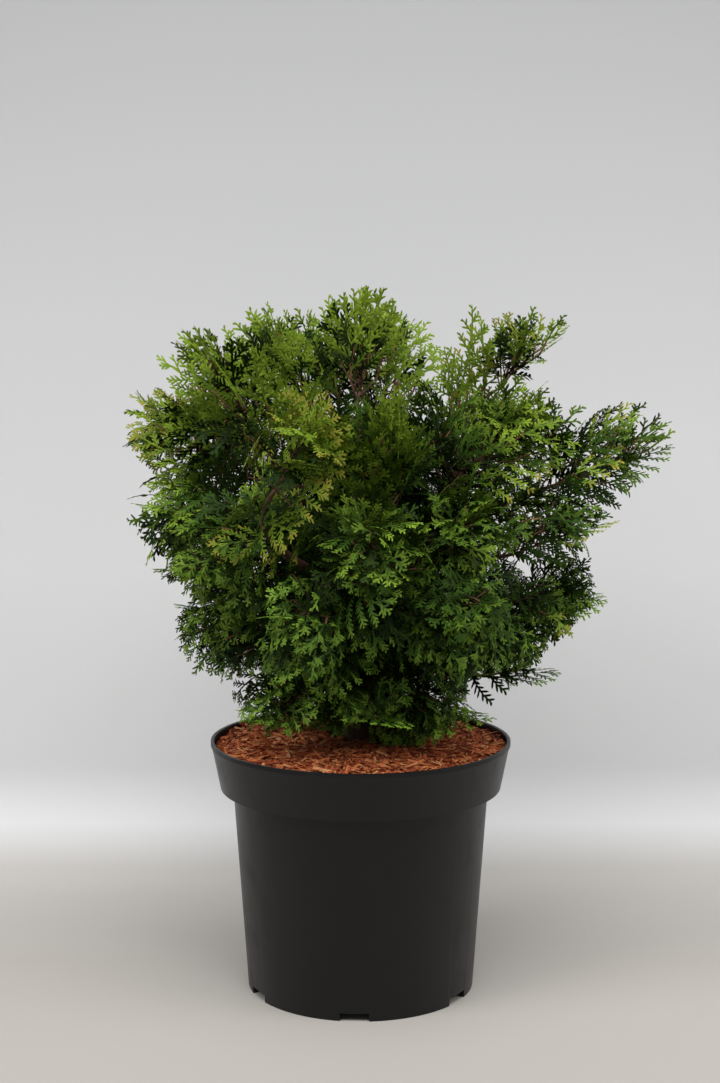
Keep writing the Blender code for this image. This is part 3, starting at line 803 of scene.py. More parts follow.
def leaf_scales_group():
    """Pairs of scale leaves along a joint: darker towards the joint's foot, where the leaves
    overlap, as painted shade, and uneven from place to place.
    """
    group, given, made = new_group(
        "leaf_scales",
        (
            ("Vector", VECTOR, None),
            ("Along", NUMBER, 0.5),
            ("Shade", COLOUR, WHITE),
            ("Lit", COLOUR, WHITE),
        ),
        (("Color", COLOUR), ("Roughness", NUMBER), ("Height", NUMBER)),
    )
    nodes, links = group.nodes, group.links
    patches = add_noise(nodes, scale=70, detail=2)
    fine = add_noise(nodes, scale=900, detail=1)
    for texture in (patches, fine):
        links.new(given.outputs["Vector"], texture.inputs["Vector"])
    painted_foot_shade = add_range(nodes, links, given.outputs["Along"], low=0.0, high=0.75)
    uneven = add_range(nodes, links, patches.outputs["Fac"], low=0.32, high=0.68)
    factor = add_weighted(nodes, links, (painted_foot_shade, 0.6), (uneven, 0.5))
    links.new(
        add_mix(nodes, links, factor, given.outputs["Shade"], given.outputs["Lit"]),
        made.inputs["Color"],
    )
    rough = add_range(
        nodes, links, fine.outputs["Fac"], low=0.3, high=0.7, to_low=0.52, to_high=0.72
    )
    links.new(rough, made.inputs["Roughness"])
    steps = add_math(nodes, links, "MULTIPLY", given.outputs["Along"], SCALE_WAVES)
    waves = add_math(nodes, links, "SINE", steps, 0)
    links.new(add_math(nodes, links, "ADD", waves, fine.outputs["Fac"]), made.inputs["Height"])
    return group


def wood_fibre_group():
    """Long fibres of bark or wood, with darker furrows between them."""
    group, given, made = new_group(
        "wood_fibre",
        (
            ("Vector", VECTOR, None),
            ("Scale", NUMBER, 1.0),
            ("Dark", COLOUR, WHITE),
            ("Light", COLOUR, WHITE),
        ),
        (("Color", COLOUR), ("Height", NUMBER)),
    )
    nodes, links = group.nodes, group.links
    fibres = add_noise(nodes, scale=1, detail=5, roughness=0.65)
    patches = add_noise(nodes, scale=1, detail=2)
    links.new(given.outputs["Vector"], fibres.inputs["Vector"])
    links.new(given.outputs["Vector"], patches.inputs["Vector"])
    links.new(given.outputs["Scale"], fibres.inputs["Scale"])
    patch_scale = add_math(nodes, links, "MULTIPLY", given.outputs["Scale"], PATCH_SCALE)
    links.new(patch_scale, patches.inputs["Scale"])
    fine = add_range(nodes, links, fibres.outputs["Fac"], low=0.35, high=0.65)
    broad = add_range(nodes, links, patches.outputs["Fac"], low=0.35, high=0.65)
    factor = add_weighted(nodes, links, (fine, 0.6), (broad, 0.4))
    links.new(
        add_mix(nodes, links, factor, given.outputs["Dark"], given.outputs["Light"]),
        made.inputs["Color"],
    )
    links.new(fibres.outputs["Fac"], made.inputs["Height"])
    return group


def scuff_group():
    """Rubbed and dusty places on moulded plastic, with its fine grain."""
    group, given, made = new_group(
        "scuffs",
        (("Vector", VECTOR, None), ("Clean", COLOUR, WHITE), ("Scuffed", COLOUR, WHITE)),
        (("Color", COLOUR), ("Roughness", NUMBER), ("Height", NUMBER)),
    )
    nodes, links = group.nodes, group.links
    streaks = add_noise(nodes, scale=1, detail=6, roughness=0.7)
    stretch = nodes.new("ShaderNodeMapping")
    stretch.inputs["Scale"].default_value = SCUFF_STRETCH
    dust = add_noise(nodes, scale=24, detail=5, roughness=0.6)
    grain = add_noise(nodes, scale=1400, detail=2)
    links.new(given.outputs["Vector"], stretch.inputs["Vector"])
    links.new(stretch.outputs["Vector"], streaks.inputs["Vector"])
    for texture in (dust, grain):
        links.new(given.outputs["Vector"], texture.inputs["Vector"])
    rubbed = add_range(nodes, links, streaks.outputs["Fac"], low=0.56, high=0.80)
    dusty = add_range(nodes, links, dust.outputs["Fac"], low=0.50, high=0.85)
    factor = add_weighted(nodes, links, (rubbed, 0.35), (dusty, 0.45))
    links.new(
        add_mix(nodes, links, factor, given.outputs["Clean"], given.outputs["Scuffed"]),
        made.inputs["Color"],
    )
    rough = add_range(nodes, links, factor, low=0.0, high=0.6, to_low=0.40, to_high=0.62)
    links.new(rough, made.inputs["Roughness"])
    links.new(grain.outputs["Fac"], made.inputs["Height"])
    return group


def shared_group(name, build):
    return bpy.data.node_groups.get(name) or build()


def start_material(name, build, name_of_group):
    """A material with one of the shared groups placed in it, and its shader."""
    material = bpy.data.materials.new(name)
    material.use_nodes = True
    nodes, links = material.node_tree.nodes, material.node_tree.links
    shader = nodes["Principled BSDF"]
    group = nodes.new("ShaderNodeGroup")
    group.node_tree = shared_group(name_of_group, build)
    links.new(group.outputs["Color"], shader.inputs["Base Color"])
    return material, nodes, links, shader, group


def add_bump(nodes, links, group, shader, distance, strength):
    bump = nodes.new("ShaderNodeBump")
    bump.inputs["Distance"].default_value = distance
    bump.inputs["Strength"].default_value = strength
    links.new(group.outputs["Height"], bump.inputs["Height"])
    links.new(bump.outputs["Normal"], shader.inputs["Normal"])


def leaf_material(tone, shade, lit):
    material, nodes, links, shader, group = start_material(
        "leaf_" + tone, leaf_scales_group, "leaf_scales"
    )
    place = nodes.new("ShaderNodeTexCoord")
    along = nodes.new("ShaderNodeAttribute")
    along.attribute_name = "along"
    links.new(place.outputs["Object"], group.inputs["Vector"])
    links.new(along.outputs["Fac"], group.inputs["Along"])
    links.new(group.outputs["Roughness"], shader.inputs["Roughness"])
    group.inputs["Shade"].default_value = (*shade, 1)
    group.inputs["Lit"].default_value = (*lit, 1)
    shader.inputs["Specular IOR Level"].default_value = LEAF_SHEEN
    add_bump(nodes, links, group, shader, distance=0.0002, strength=0.5)
    return material


def fibre_material(name, dark, light, scale, roughness, depth, coordinates=None):
    """Bark or shredded bark. The coordinates come from an attribute or are the object's own."""
    material, nodes, links, shader, group = start_material(
        name, wood_fibre_group, "wood_fibre"
    )
    stretch = nodes.new("ShaderNodeMapping")
    if coordinates:
        place = nodes.new("ShaderNodeAttribute")
        place.attribute_name = coordinates
        links.new(place.outputs["Vector"], stretch.inputs["Vector"])
        stretch.inputs["Scale"].default_value = FIBRE_STRETCH
    else:
        place = nodes.new("ShaderNodeTexCoord")
        links.new(place.outputs["Object"], stretch.inputs["Vector"])
    links.new(stretch.outputs["Vector"], group.inputs["Vector"])
    group.inputs["Scale"].default_value = scale
    group.inputs["Dark"].default_value = (*dark, 1)
    group.inputs["Light"].default_value = (*light, 1)
    shader.inputs["Roughness"].default_value = roughness
    add_bump(nodes, links, group, shader, depth, strength=0.8)
    return material


def plastic_material(settings):
    material, nodes, links, shader, group = start_material("pot_plastic", scuff_group, "scuffs")
    place = nodes.new("ShaderNodeTexCoord")
    links.new(place.outputs["Object"], group.inputs["Vector"])
    links.new(group.outputs["Roughness"], shader.inputs["Roughness"])
    group.inputs["Clean"].default_value = (*settings.colour, 1)
    group.inputs["Scuffed"].default_value = (*settings.scuffed, 1)
    shader.inputs["Specular IOR Level"].default_value = PLASTIC_SHEEN
    add_bump(nodes, links, group, shader, distance=0.0001, strength=0.35)
    return material


# The plant's plan, by the source's rule
def growth_direction(mass):
    climb = math.radians(mass.climb)
    heading = math.radians(mass.bearing + mass.turn)
    level = math.cos(climb)
    return Vector((level * math.cos(heading), level * math.sin(heading), math.sin(climb)))


def furthest_tip(mass):
    bearing = math.radians(mass.bearing)
    return Vector((mass.reach * math.cos(bearing), mass.reach * math.sin(bearing), mass.height))


def stem_foot(mass):
    return furthest_tip(mass) - mass.stem * growth_direction(mass)


def trunk_top():
    return stem_foot(MASSES[0]).z


def trunk_axis(height):
    """The middle of the trunk at this height."""
    share = (height - MULCH_TOP) / (trunk_top() - MULCH_TOP)
    top = stem_foot(MASSES[0])
    bend = TRUNK_BEND * math.sin(math.pi * share) * math.sin(2 * math.pi * share)
    lean_x = (TRUNK_LEAN[0] + bend) * math.sin(math.pi * share) + top.x * share
    lean_y = TRUNK_LEAN[1] * math.sin(math.pi * share) + top.y * share
    settle = min(1, share / STRAIGHT_FOOT)
    return Vector((lean_x * settle, lean_y * settle, height))


def trunk_radius(height):
    share = (height - MULCH_TOP) / (trunk_top() - MULCH_TOP)
    flare = FLARE * math.exp(-(height - MULCH_TOP) / FLARE_HEIGHT)
    taper = (TRUNK_RADIUS - TRUNK_TIP_RADIUS) * (1 - share) ** TRUNK_TAPER
    return TRUNK_TIP_RADIUS + taper + flare


def has_bough(mass):
    """The top mass grows on from the trunk's tip, and low ones grow level from its side."""
    level_and_near = mass.climb < LEVEL_CLIMB and stem_foot(mass).xy.length < SHORTEST_BOUGH
    return mass is not MASSES[0] and not level_and_near


def wanted_height(mass):
    """Where a bough would leave the trunk if it had its side of it to itself."""
    end = stem_foot(mass)
    lowest = MULCH_TOP + LOWEST_BOUGH
    highest = trunk_top() - HIGHEST_BOUGH
    return min(max(end.z - BOUGH_SLOPE * end.xy.length, lowest), highest)


def bough_heights():
    """Where each bough leaves the trunk. Boughs on one side of it keep apart."""
    heights = {}
    for mass in sorted(filter(has_bough, MASSES), key=wanted_height):
        height = wanted_height(mass)
        direction = stem_foot(mass).xy
        rivals = [
            other_height
            for other, other_height in heights.items()
            if direction.angle(stem_foot(other).xy) < SAME_SIDE
        ]
        while any(abs(height - rival) < BOUGH_SPACING for rival in rivals):
            height += BOUGH_SPACING / BOUGH_STEPS
        heights[mass] = height
    return heights


def bough_route(mass, start_height):
    """Points along a bough, from inside the trunk to the foot of its mass's stem."""
    start = trunk_axis(start_height)
    end = stem_foot(mass)
    straight = end - growth_direction(mass) * BOUGH_END
    span = (straight - start).length
    outward = Vector((end.x - start.x, end.y - start.y, 0)).normalized()
    leave = (outward + Vector((0, 0, BOUGH_RISE))).normalized()
    handle_out = start + leave * span * BOUGH_HANDLE_OUT
    handle_in = straight - growth_direction(mass) * span * BOUGH_HANDLE_IN
    return interpolate_bezier(start, handle_out, handle_in, straight, BOUGH_RINGS) + [end]


def stem_ends(mass):
    """The foot, the end and the direction of a mass's stem."""
    direction = growth_direction(mass)
    tip = furthest_tip(mass)
    foot = stem_foot(mass)
    if mass is not MASSES[0] and not has_bough(mass):
        level = math.hypot(direction.x, direction.y)
        foot = trunk_axis(mass.height - mass.reach / level * direction.z)
        direction = (tip - foot).normalized()
    return foot, tip - direction * TOP_SPRAY_SHARE * SPRAY_LENGTH, direction


class Space:
    """The room that a mass has: a ball, parted from its neighbours' by planes."""

    def __init__(self, mass):
        self.centre, self.radius = self.ball(mass)
        self.planes = [(Vector((0, 0, MULCH_TOP + ABOVE_MULCH)), Vector((0, 0, -1)))]
        for axis in range(3):
            for sign, corner in ((-1, CAD_BOX[0]), (1, CAD_BOX[1])):
                normal = Vector((0, 0, 0))
                normal[axis] = sign
                self.planes.append((corner + normal * BOX_MARGIN, normal))
        self.planes.append(self.underside(mass))
        self.cut = self.undercut(mass) if mass.name in UNDERCUT_SLOPES else None
        if self.cut:
            self.planes.append(self.cut)
        for other in MASSES:
            middle, size = self.ball(other)
            apart = middle - self.centre
            if other is mass or apart.length > self.radius + size:
                continue
            squares = apart.length_squared + self.radius**2 - size**2
            share = squares / (2 * apart.length_squared)
            normal = apart.normalized()
            self.planes.append((self.centre + apart * share + normal * FANS_CROSS_BY, normal))

    @staticmethod
    def ball(mass):
        inset = mass.spread - TIP_INSIDE
        return furthest_tip(mass) - inset * growth_direction(mass), mass.spread

    @staticmethod
    def underside(mass):
        """The crown's underside rises outwards, and it is higher over the front of the pot."""
        bearing = math.radians(mass.bearing)
        out = Vector((math.cos(bearing), math.sin(bearing), 0))
        height = UNDERSIDE + UNDERSIDE_IN_FRONT * max(0, -out.y)
        slope = UNDERSIDE_SLOPES.get(mass.name, UNDERSIDE_SLOPE)
        normal = (out * slope - Vector((0, 0, 1))).normalized()
        return out * UNDERSIDE_RADIUS + Vector((0, 0, height)), normal

    @staticmethod
    def undercut(mass):
        """Below its furthest tip the mass draws in towards the trunk."""
        tip = furthest_tip(mass)
        out = Vector((tip.x, tip.y, 0)).normalized()
        return tip, (out * UNDERCUT_SLOPES[mass.name] - Vector((0, 0, 1))).normalized()

    def is_cut(self, point):
        return self.cut is not None and (point - self.cut[0]).dot(self.cut[1]) > 0

    def room(self, start, direction, within=1.0):
        """How far a straight line from the start runs before it leaves the space. Fans go within
        a share of the ball, some past it, but never past the planes."""
        across = start - self.centre
        along = across.dot(direction)
        inner = along**2 - across.length_squared + self.radius**2
        reach = (math.sqrt(max(inner, 0)) - along) * within
        for point, normal in self.planes:
            closing = direction.dot(normal)
            if closing > 0:
                reach = min(reach, (point - start).dot(normal) / closing)
        return max(reach, 0)


# Fans
Joint = namedtuple("Joint", "start end overlap width zone")
Fan = namedtuple("Fan", "length corners zones")
BASE, MIDDLE, TIP, WOOD = range(4)


def in_plane(way):
    return Vector((math.sin(way), math.cos(way)))


def zone_of(place, left, length):
    """A fan is dark at its base, as painted shade, and light along its edge, as young leaf and
    painted light.
    """
    if left < TIP_ZONE:
        return TIP
    return BASE if place.length < BASE_ZONE * length else MIDDLE


def grow_feather(joints, rng, start, way, length, curve, scale, openness, fan_length, settings):
    """A side axis that curves forward, with the last shoots on alternate sides of it."""
    count = max(1, round(length / (len(SHOOT_PLACES) * SHOOT_SPACING * scale * openness)))
    step = length / count
    for i in range(count):
        end = start + in_plane(way) * step
        zone = zone_of(end, length - step * (i + 1), fan_length)
        joints.append(Joint(start, end, AXIS_OVERLAP, FEATHER_WIDTH, zone))
        for side, share in SHOOT_PLACES:
            left = length - step * (i + share)
            size = min(settings.shoot_length * scale, LAST_SHOOT * scale + SHOOTS_GROW_BY * left)
            turned = way + side * SHOOT_ANGLE * rng.uniform(*SHOOT_ANGLE_VARIES)
            foot = start.lerp(end, share)
            tip = foot + in_plane(turned) * size * rng.uniform(*SHOOT_SIZE_VARIES)
            joints.append(Joint(foot, tip, SHOOT_OVERLAP, 1.0, zone_of(tip, left, fan_length)))
        way += curve / count + rng.uniform(-FEATHER_STRAY, FEATHER_STRAY)
        start = end


def grow_fan(rng, length, scale, breadth, openness, settings):
    """The joints of a flat fan: an axis with feathers on alternate sides, longest low down."""
    joints = []
    count = max(2, round(length / (FEATHER_SPACING * scale * openness)))
    step = length / count
    side = rng.choice((-1, 1))
    way = rng.uniform(-FIRST_AXIS_STRAY, FIRST_AXIS_STRAY)
    start = Vector((0, 0))
    for i in range(count - 1):
        end = start + in_plane(way) * step
        zone = WOOD if length * BASE_ZONE > end.length else MIDDLE
        joints.append(Joint(start, end, AXIS_OVERLAP, AXIS_WIDTH, zone))
        share = (i + 1) / count
        tapered = FEATHER_LEAST + FEATHER_MOST * breadth * (1 - share) ** FEATHER_TAPER
        size = length * tapered * min(1, FIRST_FEATHER + FEATHERS_GROW_BY * share)
        size *= rng.uniform(*FEATHER_SIZE_VARIES)
        angle = NARROWEST_ANGLE + (WIDEST_ANGLE - NARROWEST_ANGLE) * (1 - share) * breadth
        turned = way + side * angle * rng.uniform(*FEATHER_ANGLE_VARIES)
        curve = -side * FEATHER_CURVE * size / length / FEATHER_FULLY_CURVED_AT
        grow_feather(joints, rng, end, turned, size, curve, scale, openness, length, settings)
        side = -side
        way += rng.uniform(-AXIS_STRAY, AXIS_STRAY)
        start = end
    last = step * END_FEATHER
    grow_feather(joints, rng, start, way, last, 0, scale, openness, length, settings)
    return joints


def flat_fan(length, scale, breadth, openness, seed, unit, settings):
    """A flat fan that starts at the origin and runs along Y, facing Z."""
    joints = grow_fan(random.Random(seed), length, scale, breadth, openness, settings)
    starts = np.array([(*joint.start, 0) for joint in joints])
    ends = np.array([(*joint.end, 0) for joint in joints])
    run = ends - starts
    overlap = np.array([[joint.overlap] for joint in joints])
    starts, ends = starts - run * overlap, ends + run * overlap * OVERLAP_AHEAD
    half = settings.shoot_width * scale / 2 * np.array([joint.width for joint in joints])
    facing = np.tile(np.array([[0, 0, 1.0]]), (len(joints), 1))
    corners = rods_between(
        unit, starts, ends, np.stack((half, half), 1), np.full(len(joints), KEEL_HEIGHT), facing
    )
    return Fan(length, corners, np.array([joint.zone for joint in joints]))


def fan_kinds(unit, scale, breadth, openness, settings):
    """A few fans of each length, to be bent and turned differently wherever they are laid."""
    return {
        length: [
            flat_fan(length, scale, breadth, openness, f"fan {length} {kind}", unit, settings)
            for kind in range(FAN_KINDS)
        ]
        for length in FAN_LENGTHS
    }


def bent_end(root, along, facing, length, bend):
    """Where the end of a fan comes to when it bends away from its facing side."""
    return root + (along * math.sin(bend) - facing * (1 - math.cos(bend))) / bend * length


def lay_fan(fan, root, heading, facing, length, bend, cup, twist):
    """The corners of a fan that is bent away from its facing side, cupped and twisted."""
    points = fan.corners * (length / fan.length)
    across, along, lift = points[..., 0], points[..., 1], points[..., 2]
    lift = lift - cup * across**2 / length
    turn = twist * along / length
    across, lift = (
        across * np.cos(turn) - lift * np.sin(turn),
        across * np.sin(turn) + lift * np.cos(turn),
    )
    curl = bend / length
    angle = curl * along
    forward = np.sin(angle) / curl + lift * np.sin(angle)
    raised = lift * np.cos(angle) - (1 - np.cos(angle)) / curl
    side = heading.cross(facing)
    basis = np.array((side, heading, facing))
    return np.stack((across, forward, raised), -1) @ basis + np.array(root)


def fan_facing(along, outward, rng):
    """Fans face out of their mass and up, and each a little its own way."""
    around = Vector([rng.gauss(0, 1) for _ in range(3)]).normalized()
    wanted = Vector((0, 0, FACING_UP)) + outward * FACING_OUT + around * FACING_STRAY
    facing = wanted - along * wanted.dot(along)
    return facing.normalized()


class Dresser:
    """Grows the twigs and fans of the masses and gathers them by colour."""

    def __init__(self, settings):
        self.settings = settings
        self.unit = joint_shape()
        self.broad = fan_kinds(self.unit[0], 1, 1, 1, settings)
        self.airy = fan_kinds(self.unit[0], AIRY_SCALE, AIRY_BREADTH, AIRY_OPENNESS, settings)
        self.prong = fan_kinds(self.unit[0], AIRY_SCALE, PRONG_BREADTH, PRONG_OPENNESS, settings)
        self.fine = fan_kinds(self.unit[0], FINE_SCALE, 1, 1, settings)
        self.inner = fan_kinds(self.unit[0], INNER_SCALE, 1, 1, settings)
        self.rod = rod_shape(TWIG_SIDES)
        self.twigs = Pile(self.rod)
        self.stalks = Pile(self.unit)
        self.leaves = {}

    def pile(self, section, tone):
        key = section, TONES[tone]
        if key not in self.leaves:
            self.leaves[key] = Pile(self.unit)
        return self.leaves[key]

    def add_twig(self, points, first, last):
        rows = np.array([tuple(point) for point in points])
        sizes = np.linspace(first, last, len(rows))
        radii = np.stack((sizes[:-1], sizes[1:]), 1)
        self.twigs.add(rods_between(self.rod[0], rows[:-1], rows[1:], radii))

    def add_fan(self, mass, section, kinds, tone, root, along, facing, length, bend, rng):
        """Lays a fan that is darker than its tone at the base, as painted shade, and lighter at the
        tips, as young leaf and painted light.
        """
        nearest = min(FAN_LENGTHS, key=lambda known: abs(known - length))
        fan = rng.choice(kinds[nearest])
        cup = rng.uniform(*FAN_CUPS)
        twist = rng.uniform(*FAN_TWISTS)
        corners = lay_fan(fan, root, along, facing, length, bend, cup, twist)
        middle = min(max(round(tone), DEEP), LIME)
        gold_share = 1 if tone >= ALL_GOLD else GOLD_TIPPED.get(mass.name, SELDOM_GOLD)
        if middle >= LEAF and rng.random() < gold_share:
            tones = {BASE: BRIGHT, MIDDLE: LIME, TIP: GOLD}
        else:
            step = 2 if section == "skirt" and middle > DEEP else 1
            tones = {BASE: max(middle - 1, DEEP), MIDDLE: middle, TIP: min(middle + step, LIME)}
        for zone, shown in tones.items():
            self.pile(section, shown).add(corners[fan.zones == zone])
        woody = kinds is self.airy or kinds is self.prong
        stalk = self.stalks if woody else self.pile(section, tones[BASE])
        stalk.add(corners[fan.zones == WOOD])

    def tone_of(self, mass, point):
        """How light a fan at this point is: lighter high up, on the outside and in the sun, as
        painted light, and darker low down and inside, as painted shade; on the outside partly
        younger leaf.
        """
        height = (point.z - MULCH_TOP) / (CAD_BOX[1].z - MULCH_TOP)
        outer = point.xy.length / OUTSIDE_AT
        light = TONE_AT_FOOT + PAINTED_LIGHT_HIGHER_UP * max(height, 0) ** TONE_CURVE
        return light + TONE_OUTSIDE * outer + SUNLIT.get(mass.name, 0)

    def dress(self, mass, section):
        """The source's rule for the twigs of a mass, with fans that lie over one another."""
        rng = random.Random(mass.name)
        space = Space(mass)
        foot, end, direction = stem_ends(mass)
        self.add_stem(foot, end, rng)
        high = min(max((mass.height - HIGH_MASSES_FROM) / HIGH_MASSES_OVER, 0), 1)
        settings = self.settings
        fans = settings.fans_low + (settings.fans_high - settings.fans_low) * high
        fans = round(fans * FAN_COUNTS.get(mass.name, 1))
        across = direction.orthogonal().normalized()
        start_turn = rng.uniform(0, 2 * math.pi)
        upright = mass.climb >= UPRIGHT_CLIMB
        for i in range(fans + (UPRIGHT_INNER_FANS if upright else INNER_FANS)):
            inner = i >= fans
            share = rng.uniform(*INNER_FANS_AT) if inner else i / (fans - 1)
            root = foot.lerp(end, FIRST_TWIG_AT + (LAST_TWIG_AT - FIRST_TWIG_AT) * share)
            outward = Matrix.Rotation(start_turn + GOLDEN_ANGLE * i, 3, direction) @ across
            if outward.z < BARE_BELOW.get(mass.name, -1):
                continue
            opening = OPENING_AT_FOOT + (OPENING_AT_TIP - OPENING_AT_FOOT) * share
            opening *= rng.uniform(*OPENING_VARIES) * (UPRIGHT_OPENING if upright else 1)
            opening *= 1 + (OPENINGS.get(mass.name, 1) - 1) * (1 - share)
            heading = direction * math.cos(opening) + outward * math.sin(opening)
            free = space.room(root, heading)
            shares = UPRIGHT_TWIG_SHARES if upright else TWIG_SHARES
            reach = free * (INNER_TWIG_SHARE if inner else rng.uniform(*shares))
            fan_root = root + heading * min(reach, LONGEST_TWIG)
            place = None if inner else share
            self.add_sagging_fan(
                mass, section, space, root, fan_root, heading, direction, place, rng
            )
        if not upright:
            self.add_tip_fans(mass, section, space, end, direction, across, rng)
        self.add_top_fans(mass, section, end, direction, rng)

    def add_top_fans(self, mass, section, end, direction, rng):
        """The fan that ends at the mass's furthest tip. The sunlit mass has some beside it."""
        root = furthest_tip(mass) - direction * LONGEST_FAN
        bearing = math.radians(mass.bearing)
        shown = Vector((math.cos(bearing), math.sin(bearing), TOP_FAN_FACES_UP))
        facing = (shown - direction * shown.dot(direction)).normalized()
        golden = mass.name == GOLDEN_MASS
        tone = ALL_GOLD if golden else self.tone_of(mass, end) + TOP_FAN_LIGHTER
        kinds = self.airy if mass.climb >= UPRIGHT_CLIMB else self.broad
        for turn in GOLDEN_FAN_TURNS if golden else (0,):
            along = Matrix.Rotation(math.radians(turn), 3, facing) @ direction
            length = LONGEST_FAN * math.cos(math.radians(turn))
            bend = TOP_FAN_BEND
            self.add_fan(mass, section, kinds, tone, root, along, facing, length, bend, rng)

    def add_tip_fans(self, mass, section, space, end, direction, across, rng):
        """Fans round the stem's end that face along it, so that no bare twigs show from outside."""
        for i in range(TIP_FANS):
            around = Matrix.Rotation(GOLDEN_ANGLE * i, 3, direction) @ across
            opening = TIP_FAN_OPENING * rng.uniform(*TIP_FAN_OPENING_VARIES)
            along = direction * math.cos(opening) + around * math.sin(opening)
            root = end - direction * rng.uniform(*TIP_FANS_BACK)
            length = min(space.room(root, along), rng.uniform(*TIP_FAN_LENGTHS))
            if length < SHORTEST_FAN:
                continue
            facing = fan_facing(along, direction, rng)
            tone = self.tone_of(mass, end) + rng.uniform(*TIP_FAN_TONES)
            bend = rng.uniform(*TIP_FAN_BENDS)
            self.add_fan(mass, section, self.broad, tone, root, along, facing, length, bend, rng)

    def add_sagging_fan(
        self, mass, section, space, root, fan_root, heading, direction, share, rng
    ):
        """A fan from the end of its twig, turned towards the mass's tip and down by its weight."""
        sag = SAG * min(max((SAG_NONE_AT - mass.height) / (SAG_NONE_AT - SAG_FULL_AT), 0), 1)
        sag -= LIFT.get(mass.name, 0)
        inner = share is None
        outwards = rng.uniform(*OUTWARD_SHARES)
        forward = FORWARD_SHARES.get(mass.name, FORWARD_SHARE)
        along = heading * outwards + direction * forward - Vector((0, 0, sag))
        along = (heading if inner else along).normalized()
        airy_share = UPRIGHT_AIRY_SHARE if mass.climb >= UPRIGHT_CLIMB else AIRY_SHARE
        airy = rng.random() < AIRY_MASSES.get(mass.name, airy_share) and not inner
        prong = airy and share > PRONGS_FROM and rng.random() < PRONG_SHARE
        within = rng.uniform(*(AIRY_WITHIN if airy else BROAD_WITHIN))
        within *= REACH_SHARES.get(mass.name, 1)
        longest = LONGEST_LOW_FAN if section == "skirt" else LONGEST_FAN
        length = min(space.room(fan_root, along, within), longest)
        if length < SHORTEST_FAN:
            return
        facing = fan_facing(along, self.flattened(mass, heading), rng)
        out = Vector((fan_root.x, fan_root.y, 0)).normalized()
        level = max(0, along.dot(out)) * (1 - max(0, along.z) ** 2)
        bend = (LEAST_BEND + self.settings.droop * level) * rng.uniform(*BEND_VARIES)
        if facing.z < FACES_DOWN:
            bend = -bend
        if space.is_cut(bent_end(fan_root, along, facing, length, bend)):
            return
        stray = TONE_STRAY[section]
        tone = self.tone_of(mass, fan_root + along * length) + rng.uniform(-stray, stray)
        broad = self.fine if section == "skirt" else self.broad
        kinds = self.inner if inner else self.prong if prong else self.airy if airy else broad
        # Inner fans take the deepest tone: painted shade of the crown's core, and its oldest leaf.
        tone = DEEP if inner else tone
        self.add_fan(mass, section, kinds, tone, fan_root, along, facing, length, bend, rng)
        twig_end = fan_root + along * length * TWIG_INTO_FAN
        self.add_twig((root, fan_root, twig_end), TWIG_RADIUS, TWIG_TIP_RADIUS)

    @staticmethod
    def flattened(mass, heading):
        """Plumes at the crown's edge are flat: their fans face to either side of the stem."""
        bearing = math.radians(mass.bearing)
        flank = Vector((-math.sin(bearing), math.cos(bearing), 0))
        flank *= math.copysign(1, flank.dot(heading))
        return heading.lerp(flank, FLATNESS.get(mass.name, 0))

    def dress_bough(self, mass, section, route):
        """Fans along a bough, which close the crown between its masses."""
        rng = random.Random("bough " + mass.name)
        fans = round(BOUGH_FANS * BOUGH_FAN_COUNTS.get(mass.name, 1))
        for i in range(fans):
            share = BOUGH_FANS_FROM + (1 - BOUGH_FANS_FROM) * i / fans
            at = int(share * (len(route) - 1))
            root = route[at]
            way = (route[at + 1] - root).normalized()
            outward = Matrix.Rotation(GOLDEN_ANGLE * i, 3, way) @ way.orthogonal().normalized()
            along = (way * BOUGH_FAN_FORWARD + outward * BOUGH_FAN_OUTWARD).normalized()
            length = rng.uniform(*BOUGH_FAN_LENGTHS)
            facing = fan_facing(along, Vector((root.x, root.y, 0)).normalized(), rng)
            tone = self.tone_of(mass, root + along * length) - BOUGH_FAN_SHADE
            kinds = self.inner if i % 2 else self.broad
            tone = min(tone, SHADE) if kinds is self.inner else tone
            bend = rng.uniform(*BOUGH_FAN_BENDS)
            self.add_fan(mass, section, kinds, tone, root, along, facing, length, bend, rng)

    def dress_trunk(self, section):
        """Drooping fans round the trunk, which hide its foot."""
        rng = random.Random("trunk")
        for i in range(TRUNK_FANS):
            height = TRUNK_FANS_FROM + (TRUNK_FANS_TO - TRUNK_FANS_FROM) * i / TRUNK_FANS
            root = trunk_axis(height)
            turn = GOLDEN_ANGLE * i
            outward = Vector((math.cos(turn), math.sin(turn), 0))
            along = (outward + Vector((0, 0, rng.uniform(*TRUNK_FAN_RISES)))).normalized()
            length = rng.uniform(*TRUNK_FAN_LENGTHS)
            facing = fan_facing(along, outward, rng)
            # Dark tones round the trunk: painted shade inside the crown, and its old leaf.
            tone = rng.uniform(*TRUNK_FAN_TONES)
            bend = rng.uniform(*TRUNK_FAN_BENDS)
            mass = MASSES[0]
            self.add_fan(mass, section, self.broad, tone, root, along, facing, length, bend, rng)

    def add_stem(self, foot, end, rng):
        points = [foot.lerp(end, i / STEM_PIECES) for i in range(STEM_PIECES + 1)]
        for point in points[1:-1]:
            point += Vector([rng.uniform(-1, 1) for _ in range(3)]) * STEM_SWAY
        self.add_twig(points, BOUGH_TIP_RADIUS, STEM_TIP_RADIUS)


